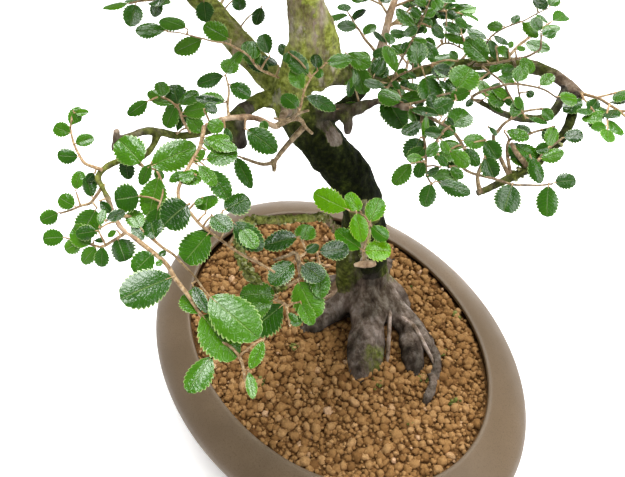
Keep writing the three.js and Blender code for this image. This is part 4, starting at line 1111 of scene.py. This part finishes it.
# The wall as (reach, height): under the floor, up the outside, over the lip and down the inside.
POT_PROFILE = [
    (0, FOOT_HEIGHT), (90, FOOT_HEIGHT), (126, FOOT_HEIGHT), (131, FOOT_HEIGHT + 1.2), (145, 18), (164, 39),
    (172, 52), (BODY_HALF_LENGTH, 61), (174, 65.5), (171, 69.5), (164, 75), (156, 79.6), (149, 82.8),
    (144.5, 84.4), (142.6, 84.9), (141.2, RIM_HEIGHT), (140, 84.6), (139.2, 83.4), (139.4, 81.8), (146, 75),
    (158, 64), (150, 40), (124, FLOOR_TOP), (90, FLOOR_TOP), (0, FLOOR_TOP),
]
POT_SIDES = 160
# The corners where a smoothed stretch of the profile starts: the outside of the wall and its shoulder.
ROUNDED = range(4, 12)
# The drainage holes, by radius and distance from the pot's middle, and the feet, by their angle round it.
HOLE_RADIUS, HOLE_PLACE = 11, 62
FOOT_ANGLES = (0.7, math.pi - 0.7, math.pi + 0.7, -0.7)


def lathe(profile, sides):
    """The body that a profile makes round the pot's middle, as an oval."""
    verts, faces = [], []
    rings = []
    for r, z in profile:
        ring = [(0, 0)] if r == 0 else oval_ring(r, sides)
        rings.append(range(len(verts), len(verts) + len(ring)))
        verts += [(x, y, z) for x, y in ring]
    for low, high in zip(rings, rings[1:]):
        for i in range(sides):
            j = (i + 1) % sides
            if len(low) == 1:
                faces.append((low[0], high[j], high[i]))
            elif len(high) == 1:
                faces.append((low[i], low[j], high[0]))
            else:
                faces.append((low[i], low[j], high[j], high[i]))
    return verts, faces


def apply_modifiers(piece):
    """Turn what the modifiers make of a piece into its own mesh."""
    graph = bpy.context.evaluated_depsgraph_get()
    done = bpy.data.meshes.new_from_object(piece.evaluated_get(graph))
    piece.modifiers.clear()
    piece.data = done


def smooth_profile(profile):
    """The wall's profile with its outside made smooth, and the rest of it as it is listed."""
    out = []
    steps = 4
    for k, corner in enumerate(profile):
        if k not in ROUNDED:
            out.append(corner)
            continue
        for step in range(steps):
            t = (k + step / steps) / (len(profile) - 1)
            out.append(tuple(curve_point([(r, z, 0) for r, z in profile], t)[:2]))
    return out


def make_pot():
    """The pot's wall and floor, with the drainage holes cut out and the feet joined on."""
    shape = Shape()
    shape.add(*lathe(smooth_profile(POT_PROFILE), POT_SIDES))
    pot = shape.mesh("pot_body", [CLAY], tree=False)
    cutters = []
    for sx in (-1, 1):
        bpy.ops.mesh.primitive_cylinder_add(vertices=48, radius=HOLE_RADIUS * MM, depth=30 * MM)
        hole = bpy.context.object
        hole.location = ((POT_CENTRE[0] + sx * HOLE_PLACE) * MM, POT_CENTRE[1] * MM, FLOOR_TOP * MM)
        cutters.append((hole, "DIFFERENCE"))
    for angle in FOOT_ANGLES:
        cutters.append((pot_foot(angle), "UNION"))
    for cutter, operation in cutters:
        modifier = pot.modifiers.new("join", "BOOLEAN")
        modifier.object = cutter
        modifier.operation = operation
        modifier.solver = "EXACT"
    bpy.context.view_layer.update()
    apply_modifiers(pot)
    for cutter, _ in cutters:
        bpy.data.objects.remove(cutter)
    pot.data.materials.clear()
    pot.data.materials.append(CLAY)
    pot.data.polygons.foreach_set("use_smooth", [True] * len(pot.data.polygons))
    pot.data.set_sharp_from_angle(angle=math.radians(35))
    finish_piece(pot, "pot", "pot")


def pot_foot(angle):
    """A low curved foot, with its lower edge drawn in a little."""
    shape = Shape()
    steps, spread = 12, 0.26
    inner, outer, draw = 100, 124, 60
    rows = [(0.965, 0.0), (1.0, 1.2), (1.0, FOOT_HEIGHT + 3)]
    verts = []
    for shrink, z in rows:
        for r in (inner + (1 - shrink) * draw, outer - (1 - shrink) * draw):
            for k in range(steps + 1):
                turn = angle + spread * shrink * (2 * k / steps - 1)
                verts.append((r * math.cos(turn), r * math.sin(turn) * MOUTH_ASPECT, z))
    n = steps + 1
    faces = []
    for row in range(2):
        a, b = row * 2 * n, (row + 1) * 2 * n
        for k in range(steps):
            faces.append((a + k + 1, a + k, b + k, b + k + 1))
            faces.append((a + n + k, a + n + k + 1, b + n + k + 1, b + n + k))
        faces.append((a, a + n, b + n, b))
        faces.append((a + n + steps, a + steps, b + steps, b + n + steps))
    top = 4 * n
    for k in range(steps):
        faces.append((k, k + 1, n + k + 1, n + k))
        faces.append((top + k + 1, top + k, top + n + k, top + n + k + 1))
    shape.add(verts, faces)
    return shape.mesh("foot", [CLAY], tree=False)


# ---------------------------------------------------------------- soil

TRUNK_FOOT = np.array(TRUNK["route"][1][:2], float)
# The soil's height at the pot's edge, above the rim, and the mound round the trunk.
SOIL_EDGE, SOIL_MOUND, MOUND_REACH = -8, 7, 52
# The soil's reach at its top and the corners of its underside, close inside the pot's wall.
SOIL_REACH = 139.4
SOIL_FLOOR = FLOOR_TOP + 0.4
SOIL_UNDERSIDE = ((150, 66), (149, 41), (123.6, SOIL_FLOOR))
# How far the dusty bed lies under the soil's height, where the grains cover it.
BED_DROP = 2


def soil_height(x, y):
    """Height of the soil above the rim, at a place in the tree's frame."""
    reach = ((x - TRUNK_FOOT[0]) ** 2 + (y - TRUNK_FOOT[1]) ** 2) / (2 * MOUND_REACH**2)
    return SOIL_EDGE + SOIL_MOUND * math.exp(-reach)


def soil_top(x, y):
    """Height of the soil above the ground, at a place in the pot's own frame."""
    return RIM_HEIGHT + soil_height(*turned_back(x, y))


def make_soil():
    """A dusty bed inside the pot, closed below, just under the grains."""
    rings, sides = 26, 120
    shape = Shape()
    verts = [(0, 0, soil_top(0, 0) - BED_DROP)]
    for k in range(1, rings + 1):
        for x, y in oval_ring(SOIL_REACH * k / rings, sides):
            bumps = 1.2 * noise.noise(Vector((x * 0.12, y * 0.12, 3)))
            verts.append((x, y, soil_top(x, y) - BED_DROP + bumps))
    faces = [(0, 1 + i, 1 + (i + 1) % sides) for i in range(sides)]
    for r, z in SOIL_UNDERSIDE:
        verts += [(x, y, z) for x, y in oval_ring(r, sides)]
    for k in range(rings + len(SOIL_UNDERSIDE) - 1):
        faces += band(1 + k * sides, 1 + (k + 1) * sides, sides)
    last = len(verts) - sides
    verts.append((0, 0, SOIL_FLOOR))
    faces.extend([(last + i, len(verts) - 1, last + (i + 1) % sides) for i in range(sides)])
    shape.add(verts, faces)
    finish_piece(shape.mesh("soil_bed", [DUST], tree=False), "soil", "soil")


def ball(subdivisions):
    """Points and faces of a round ball with a radius of 1."""
    bm = bmesh.new()
    bmesh.ops.create_icosphere(bm, subdivisions=subdivisions, radius=1)
    verts = np.array([v.co[:] for v in bm.verts])
    faces = [tuple(v.index for v in f.verts) for f in bm.faces]
    bm.free()
    return verts, faces


SMALL_BALL, ROUND_BALL = ball(1), ball(2)


def add_lump(shape, centre, size, rng, paint, flat, rough, form=ROUND_BALL):
    """An irregular crumb: a ball pushed in and out by noise, squashed and turned."""
    offset = Vector((rng.random() * 90, rng.random() * 90, rng.random() * 90))
    swell = []
    for v in form[0]:
        bulge = 1.6 * noise.noise(Vector(v) * 1.1 + offset) + noise.noise(Vector(v) * 2.7 - offset)
        swell.append(1 + rough * bulge)
    verts = form[0] * np.array(swell)[:, None] * np.array([1, 0.72 + 0.26 * rng.random(), flat])
    spin = Matrix.Rotation(rng.random() * math.tau, 3, "Z")
    tilt = Matrix.Rotation(rng.uniform(-0.6, 0.6), 3, "X")
    shape.add(verts @ np.array(spin @ tilt).T * size + centre, form[1], paint)


# Rows of a lattice of triangles lie this much closer together than the points in a row.
ROW_SPACING = 0.866
# No grain reaches out further than this from the pot's middle.
GRAIN_REACH = 139.6


def scatter_grains(shape, rng, pitch, sizes, lift, form):
    """Crumbs over the whole soil on a jittered lattice."""
    rows = int(2 * MOUTH_HALF_LENGTH / (pitch * ROW_SPACING))
    for j in range(rows):
        for i in range(rows):
            x = (i - rows / 2 + 0.5 * (j % 2)) * pitch + rng.uniform(-0.3, 0.3) * pitch
            y = (j - rows / 2) * pitch * ROW_SPACING + rng.uniform(-0.3, 0.3) * pitch
            size = rng.choice(sizes) * rng.uniform(0.88, 1.14)
            tone = min(max(rng.gauss(0.5, 0.19), 0), 1)
            high = lift + rng.uniform(-1.3, 1.3)
            edge = GRAIN_REACH - size
            if (x / edge) ** 2 + (y / (edge * MOUTH_ASPECT)) ** 2 > 1:
                continue
            place = np.array([x, y, soil_top(x, y) + high])
            add_lump(shape, place, size, rng, (0, 0, tone), flat=0.84, rough=0.3, form=form)


# Granules that lie on the roots: a place in the tree's frame, and their radius.
LOOSE_GRAINS = [
    (28, -12, 9.5, 4), (24, -17, 8, 2.6), (19, -23, 6, 2.4), (21, -24, 6, 2), (73, -34, 1, 2.8),
    (77, 24, -2, 2.8),
]
GRAIN_PITCH, GRAIN_SIZES = 6.1, (2.2, 2.7, 3.0, 3.4, 4.1)
CRUMB_PITCH, CRUMB_SIZES = 3.9, (1.3, 1.7, 2.1)


def make_grains():
    """Baked clay granules over the soil, and finer crumbs that fill between them."""
    rng = random.Random(7)
    grains, crumbs = Shape(), Shape()
    scatter_grains(grains, rng, GRAIN_PITCH, GRAIN_SIZES, lift=-0.6, form=ROUND_BALL)
    scatter_grains(crumbs, rng, CRUMB_PITCH, CRUMB_SIZES, lift=-0.9, form=SMALL_BALL)
    for x, y, z, size in LOOSE_GRAINS:
        place = to_world([(x, y, z)])[0] / MM - POT_CENTRE
        add_lump(grains, place, size, rng, (0, 0, rng.uniform(0.5, 0.9)), flat=0.8, rough=0.3)
    for shape, name in ((grains, "soil_grains"), (crumbs, "soil_crumbs")):
        finish_piece(shape.mesh(name, [GRAIN], tree=False), "soil")


# ---------------------------------------------------------------- wood

# Edge of the cells in which the limbs are fused into one surface.
VOXEL = 1.3
# The relief is weaker above the rim and beyond this distance from the trunk's upright.
TRUNK_UPRIGHT, TRUNK_REACH = np.array([10, 32]), 60

# How a limb's bark looks at even steps along it: how young and tan, how mossy, how pale with lichen.
OLD_BARK = [(0.35, 0.5, 0.35), (0.8, 0.15, 0.2)]
BARK_LOOKS = dict(
    fork=[(0.3, 0.6, 0.6), (0.5, 0.66, 1), (0.5, 0.64, 1)],
    right_front=[(0.1, 0.6, 0.1), (0.15, 0.5, 0.1), (0.25, 0.4, 0.1), (0.7, 0.2, 0)],
    right_stub=[(0.1, 0.5, 0.3), (0.14, 0.4, 0.3)],
    back_left=[(0.5, 0.75, 0.5), (0.6, 0.4, 0.2)],
    left=[
        (0.3, 0.95, 0.6), (0.12, 0.9, 0.1), (0.14, 0.9, 0.1), (0.2, 0.85, 0.2), (0.3, 0.8, 0.3),
        (0.6, 0.5, 0.2), (1, 0, 0),
    ],
    left_tip=[(0.2, 0.85, 0.2), (0.2, 0.8, 0.1)],
    left_stub=[(0.4, 0.2, 0.3), (0.1, 0.2, 0)],
    left_knob=[(0.1, 0.4, 0.1), (0.08, 0.2, 0.1)],
    front=[(0.3, 0.5, 0.2), (0.9, 0.1, 0.1), (1, 0, 0)],
    low_left=[(0.8, 0.2, 0.3), (0.5, 0.6, 0.4), (0.4, 0.8, 0.4), (0.35, 0.9, 0.5), (0.35, 0.95, 0.5)],
    low_front=[(0.3, 0.7, 0.2), (0.9, 0.3, 0.9)],
    front_cut=[(1, 0.3, 0.6), (1, 0, 0.3)],
    flank=[(0.06, 0.9, 0.15), (0.12, 0.8, 0.2), (0.14, 0.5, 0.3)],
    right_back=[(0.2, 0.6, 0.15), (0.15, 0.7, 0.1), (0.3, 0.6, 0.1)],
    right_back_low=[(0.1, 0.7, 0.1), (0.1, 0.7, 0.05), (0.14, 0.6, 0.05), (0.25, 0.5, 0.1)],
    right_back_mid=[(0.06, 0.7, 0.1), (0.12, 0.6, 0.1)],
    back_low=[(0.02, 0.9, 0), (0.1, 0.8, 0.05), (0.8, 0.2, 0.5), (1, 0.1, 0.6)],
)
ROOT_LOOK = [(0.17, 0.25, 0.34), (0.13, 0.2, 0.34), (0.1, 0.28, 0.16)]
# The trunk's middle has no tan, so the bark material darkens it most: painted shade of the crown above, on
# bark that is dark with moss as well.
TRUNK_LOOK = [
    (0.12, 0.1, 0.4), (0.16, 0.1, 0.45), (0.16, 0.2, 0.4), (0.03, 0.8, 0), (0, 0.9, 0), (0, 0.9, 0),
    (0, 0.9, 0.02), (0.08, 0.8, 0.16), (0.35, 0.6, 0.8), (0.4, 0.5, 1), (0.45, 0.5, 1), (0.55, 0.45, 0.9),
    (0.6, 0.4, 0.6), (0.7, 0.3, 0.5), (0.8, 0.2, 0.3), (0.9, 0.1, 0.2), (1, 0, 0.1),
]
# The pale rod among the lesser roots, and the bare roots that stand off the flare.
PALE_LOOK = [(1, 0.15, 0.3)] * 2
BARE_LOOK = (0.34, 0.05, 0.95)


def look_at(looks, t):
    """The look at t, from 0 to 1, between looks that stand at even steps."""
    places = np.linspace(0, 1, len(looks))
    return [float(np.interp(t, places, [look[c] for look in looks])) for c in range(3)]


def wood_parts():
    """Every limb with the look of its bark."""
    parts = [(TRUNK, TRUNK_LOOK)] + [(root, ROOT_LOOK) for root in ROOTS + SMALL_ROOTS]
    parts[1 + len(ROOTS)] = SMALL_ROOTS[0], PALE_LOOK
    return parts + [(branch, BARK_LOOKS.get(name, OLD_BARK)) for name, branch in BRANCHES.items()]


def paint_wood(mesh, points, parts):
    """Give each vertex the bark look of the limb whose surface is nearest, with less tan and lichen where
    it faces down: painted shade on the undersides, on bark that is damper there too.
    """
    normals = vertex_values(mesh, "normal")
    samples = []
    steps = 50
    for part, looks in parts:
        for t in np.arange(steps + 1) / steps:
            samples.append((curve_point(part["route"], t), radius_at(part["radii"], t), look_at(looks, t)))
    tree = kdtree.KDTree(len(samples))
    for k, (point, _, _) in enumerate(samples):
        tree.insert(point, k)
    tree.balance()
    colours = np.ones((len(points), 4))
    for k, point in enumerate(points):
        near = min(tree.find_n(point, 6), key=lambda hit: hit[2] - samples[hit[1]][1])
        tan, moss, pale = samples[near[1]][2]
        # Painted shade: less tan and lichen on surfaces that face down, which the bark shows as darker wood
        # and deeper moss.
        painted_shade = min(max(0.75 + 0.5 * normals[k, 2], 0.35), 1)
        colours[k, :3] = tan * painted_shade, moss, pale * painted_shade
    layer = mesh.color_attributes.new("paint", "FLOAT_COLOR", "POINT")
    layer.data.foreach_set("color", colours.ravel())


def vertex_values(mesh, key):
    values = np.empty(len(mesh.vertices) * 3)
    mesh.vertices.foreach_get(key, values)
    return values.reshape(-1, 3)


def bark_relief(mesh, points):
    """Fluting, knobs, cracks and hollows pushed into the fused wood, along its normals."""
    normals = vertex_values(mesh, "normal")
    push = np.empty(len(points))
    for k, p in enumerate(points):
        tall = Vector((p[0] * 0.12, p[1] * 0.12, p[2] * 0.035))
        fine = Vector(p * 0.22)
        ridge = 0.5 - abs(noise.noise(Vector((p[0] * 0.2, p[1] * 0.2, p[2] * 0.06))))
        push[k] = 0.8 * noise.noise(tall) + 0.5 * noise.noise(fine) + 0.3 * noise.noise(fine * 2.3)
        push[k] += 0.7 * (ridge - 0.4)
    above = points[:, 2] > 0
    away = np.linalg.norm(points[:, :2] - TRUNK_UPRIGHT, axis=1)
    push = np.where(above & (away > TRUNK_REACH), push * 0.45, push)
    for place, depth, reach in HOLLOWS:
        gap = np.linalg.norm(points - np.array(place), axis=1)
        push -= depth * np.exp(-(gap**2) / (2 * reach**2))
    moved = vertex_values(mesh, "co") + normals * push[:, None] * MM
    mesh.vertices.foreach_set("co", moved.ravel())
    mesh.update()


def make_wood():
    """Every limb fused into one skin, then given its bark's relief and looks."""
    shape = Shape()
    parts = wood_parts()
    for k, (part, _) in enumerate(parts):
        widest = max(part["radii"])
        sides = 40 if k == 0 else 24 if widest > 6 else 14
        shape.add(*tube(part["route"], part["radii"], sides, spacing=3.5, wobble=0.12, seed=k))
    wood = shape.mesh("wood_bark", [BARK])
    remesh = wood.modifiers.new("fuse", "REMESH")
    remesh.mode = "VOXEL"
    remesh.voxel_size = VOXEL * MM
    smooth = wood.modifiers.new("soften", "SMOOTH")
    smooth.factor = 0.5
    smooth.iterations = 3
    bpy.context.view_layer.update()
    apply_modifiers(wood)
    mesh = wood.data
    for layer in list(mesh.color_attributes):
        mesh.color_attributes.remove(layer)
    points = to_tree(vertex_values(mesh, "co"))
    paint_wood(mesh, points, parts)
    bark_relief(mesh, points)
    mesh.polygons.foreach_set("use_smooth", [True] * len(mesh.polygons))
    mesh.materials.clear()
    mesh.materials.append(BARK)
    finish_piece(wood, "bark", "wood")


def make_bare_roots():
    shape = Shape()
    for k, root in enumerate(BARE_ROOTS):
        rod = tube(root["route"], root["radii"], sides=16, spacing=1.2, wobble=0.25, seed=k + 70)
        shape.add(*rod, BARE_LOOK)
    finish_piece(shape.mesh("bare_roots", [BARK]), "bark")


# Tufts on the bark: limb, from and to along it, how many, and their size.
MOSS_TUFTS = (
    ("low_left", 0.5, 1.0, 190, 1.5), ("low_left", 0.1, 0.55, 110, 1.1), ("low_front", 0.3, 0.95, 50, 1.1),
    ("right_back_low", 0.3, 0.75, 70, 1.2), ("back_left", 0.1, 0.7, 60, 1.1),
)
# Cushions of moss on the soil, in the tree's frame.
MOSS_SPOTS = [
    (-32, -12), (31, -44), (68, -38), (84, -16), (62, 44), (100, 20), (-60, -40), (-20, 74), (54, -76),
    (92, -60),
]
CUSHION_CRUMBS = 9


def make_moss():
    """Tufts of moss and lichen on the low branches, and a few cushions on the soil."""
    rng = random.Random(11)
    shape = Shape()
    for name, start, stop, count, size in MOSS_TUFTS:
        part = BRANCHES[name]
        for _ in range(count):
            t = rng.uniform(start, stop)
            along = curve_heading(part["route"], t)
            out = unit(np.cross(along, np.array([rng.gauss(0, 1), rng.gauss(0, 1), rng.gauss(0, 1)])))
            out = unit(out + UP * 0.35)
            centre = curve_point(part["route"], t) + out * radius_at(part["radii"], t) * 0.95
            form = ROUND_BALL if rng.random() < 0.4 else SMALL_BALL
            reach = size * rng.uniform(0.4, 1.1)
            add_lump(shape, centre, reach, rng, (0, 0, rng.random()), flat=0.75, rough=0.5, form=form)
    for x, y in MOSS_SPOTS:
        for _ in range(CUSHION_CRUMBS):
            a, b = x + rng.gauss(0, 2.2), y + rng.gauss(0, 2.2)
            centre = np.array([a, b, soil_height(a, b) + 1.2])
            size = rng.uniform(0.9, 1.8)
            paint = (0, 0, 0.6 * rng.random())
            add_lump(shape, centre, size, rng, paint, flat=0.6, rough=0.5, form=SMALL_BALL)
    finish_piece(shape.mesh("moss", [MOSS]), "bark")


# ---------------------------------------------------------------- shoots

# How young and tan the wood is, from 0 to 1.
OLD_WOOD, KNUCKLE_WOOD, CROWN_WOOD, YOUNG_WOOD = 0.15, 0.2, 0.5, 0.7
# The finished twigs are thinner than the tables say.
SHOOT_THINNING, TWIG_THINNING = 0.66, 0.75


def leafy_piece(shape, name, blade=LEAF):
    """Leaves and their twig, with the materials in the order of WOODY, BLADE and UNDERSIDE."""
    return shape.mesh("leaves_" + name, [TWIG, blade, LEAF_BACK], sharp=70)


def facing_of(name):
    """The way in which a front shoot holds its leaves."""
    if name in FLAT_SHOOTS:
        return FLAT_FACING
    return STEEP_FACING if name in STEEP_SHOOTS else LEAF_FACING


def make_front_shoots():
    for index, (name, (radius, route, leaves)) in enumerate(FRONT_SHOOTS.items()):
        shape = Shape()
        young = OLD_WOOD if name.startswith("right") else YOUNG_WOOD
        add_twig(shape, route, radius * SHOOT_THINNING, index, young)
        for k, leaf in enumerate(leaves):
            front_leaf(shape, route, leaf, index, k, facing_of(name))
        slot, blade = ("new_leaf", NEW_LEAF) if name == "new_shoot" else ("leaf", LEAF)
        finish_piece(leafy_piece(shape, name, blade), slot, "shoot_" + name)


def make_more_twigs():
    """Twigs and leaves beyond those of the solid model, on the branches that the photograph shows."""
    for index, (name, (radius, route, leaves)) in enumerate(MORE_TWIGS.items(), 30):
        shape = Shape()
        young = KNUCKLE_WOOD if name == "front_knuckle" else OLD_WOOD
        add_twig(shape, route, radius * TWIG_THINNING, index, young)
        for k, leaf in enumerate(leaves):
            front_leaf(shape, route, leaf, index, k)
        finish_piece(leafy_piece(shape, name), "leaf")
    shape = Shape()
    for index, (name, leaves) in enumerate(BRANCH_LEAVES.items(), 60):
        for k, leaf in enumerate(leaves):
            stand_off = radius_at(BRANCHES[name]["radii"], leaf[0])
            front_leaf(shape, BRANCHES[name]["route"], leaf, index, k, LEAF_FACING, stand_off)
    finish_piece(leafy_piece(shape, "on_branches"), "leaf")


# Shoots with nothing but their own leaves, where the photograph shows the sky between them.
OPEN_SHOOTS = ("back_left_1", "right_back_2", "back_low_1")
# The side twigs of the others: place along the shoot, and turn to the left or right.
SIDE_TWIGS = ((0.35, 0.9), (0.6, -0.9), (0.1, -0.7), (0.8, 0.8))


def make_crown_shoots():
    seen = {}
    for index, spec in enumerate(CROWN_SHOOTS):
        seen[spec[0]] = seen.get(spec[0], 0) + 1
        name = f"{spec[0]}_{seen[spec[0]]}"
        route = crown_route(spec, index)
        shape = Shape()
        add_twig(shape, route, radius=1.1, seed=index + 60, young=CROWN_WOOD)
        fill_leaves(shape, route, start=0.3, stop=0.98, spacing=7, size=15, seed=index + 300)
        sway = 0.3 * (scatter(index, 15) - 0.5)
        side_leaf(shape, route, place=0.99, turn=sway, length=17, aspect=0.6, seed=index + 700)
        for k, (place, turn) in enumerate(() if name in OPEN_SHOOTS else SIDE_TWIGS):
            side_twig(shape, route, place, turn, length=27 - 2 * k, size=14, seed=index + 1100 + 400 * k)
        finish_piece(leafy_piece(shape, name), "leaf", "shoot_" + name)


# Spurs that fill the crown between its shoots: branch, from and to along it, how many, and their length.
CROWN_SPURS = (
    ("back_left", 0.38, 0.95, 6, 34), ("back_low", 0.62, 0.95, 5, 26), ("right_back", 0.25, 0.62, 5, 28),
    ("left_high", 0.25, 0.95, 8, 34), ("right_high", 0.2, 0.95, 8, 34), ("back_high", 0.25, 0.95, 8, 32),
    ("back_right_high", 0.2, 0.9, 5, 30), ("front_high", 0.3, 0.95, 6, 28),
    ("back_left_high", 0.25, 0.9, 6, 30), ("right_front_high", 0.3, 0.9, 5, 28),
    ("left_top", 0.3, 0.9, 5, 28),
)


def make_crown_spurs():
    for index, (name, start, stop, count, length) in enumerate(CROWN_SPURS):
        shape = Shape()
        for k in range(count):
            seed = index * 37 + k * 5
            place = start + (stop - start) * (k + 0.5) / count
            turn = (1 if k % 2 else -1) * (0.7 + 0.7 * scatter(seed, 31))
            reach = length * (0.8 + 0.4 * scatter(seed, 32))
            spur = side_route(BRANCHES[name]["route"], place, turn, reach, seed)
            add_twig(shape, spur, radius=1.0, seed=seed, young=CROWN_WOOD, sides=6)
            fill_leaves(shape, spur, start=0.3, stop=0.98, spacing=6.5, size=14, seed=seed + 2000)
            side_twig(shape, spur, 0.45, 0.9 if k % 2 else -0.9, length=20, size=13, seed=seed + 2600)
        finish_piece(leafy_piece(shape, "spurs_" + name), "leaf")


# ---------------------------------------------------------------- light, floor and camera

# Each lamp's place in the tree's frame, and its power in watts. The sides of a lamp, which is square, and
# of the floor are in metres.
LAMPS = dict(key=((400, 1100, 1400), 28), top=((-120, 140, 1500), 33), fill=((900, -650, 1000), 11))
LAMP_SIDE = 0.8
LAMP_AIM = (0, 0, 120)
SKY_STRENGTH = 0.26
FLOOR_GLOW = 0.45
FLOOR_SIDE = 8
CAMERA_PLACE = (-17, -355, 540)
LENS, SENSOR_WIDTH = 46.08, 36


def floor_material():
    p = Paint("floor", 0.9, 0.1)
    p.colour(p.tones(p.noise(3, 2), (0.0, 250, 250, 250), (1.0, 254, 254, 254)))
    p.shader.inputs["Emission Color"].default_value = (1, 1, 1, 1)
    p.shader.inputs["Emission Strength"].default_value = FLOOR_GLOW
    return p.material


def make_stage():
    """A pale floor that glows a little, an even dim sky, and three soft lamps."""
    bpy.ops.mesh.primitive_plane_add(size=FLOOR_SIDE)
    floor = bpy.context.object
    floor.name = "floor"
    floor.data.materials.append(floor_material())

    world = bpy.data.worlds.new("studio")
    world.use_nodes = True
    sky = world.node_tree.nodes["Background"].inputs
    sky["Color"].default_value = (1, 1, 1, 1)
    sky["Strength"].default_value = SKY_STRENGTH
    bpy.context.scene.world = world

    for name, (place, power) in LAMPS.items():
        lamp = bpy.data.lights.new(name, "AREA")
        lamp.size = LAMP_SIDE
        lamp.energy = power
        lamp_object = bpy.data.objects.new(name, lamp)
        spot = Vector(to_world([place])[0])
        aim = Vector(to_world([LAMP_AIM])[0]) - spot
        lamp_object.location = spot
        lamp_object.rotation_euler = aim.to_track_quat("-Z", "Y").to_euler()
        bpy.context.scene.collection.objects.link(lamp_object)


def make_camera():
    camera = bpy.data.cameras.new("camera")
    camera.lens = LENS
    camera.sensor_width = SENSOR_WIDTH
    camera.clip_start = 0.01
    piece = bpy.data.objects.new("camera", camera)
    piece.location = to_world([CAMERA_PLACE])[0]
    piece.rotation_euler = (math.pi / 2 - VIEW_DOWN, 0, TREE_TURN)
    bpy.context.scene.collection.objects.link(piece)
    bpy.context.scene.camera = piece


bpy.context.scene.view_settings.view_transform = "Standard"
make_camera()
make_stage()
make_pot()
make_soil()
make_grains()
make_wood()
make_bare_roots()
make_moss()
make_front_shoots()
make_more_twigs()
make_crown_shoots()
make_crown_spurs()
for screen in ("screen_left", "screen_right"):
    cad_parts[screen].data.materials.clear()
    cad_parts[screen].data.materials.append(mesh_material())

bpy.context.view_layer.update()
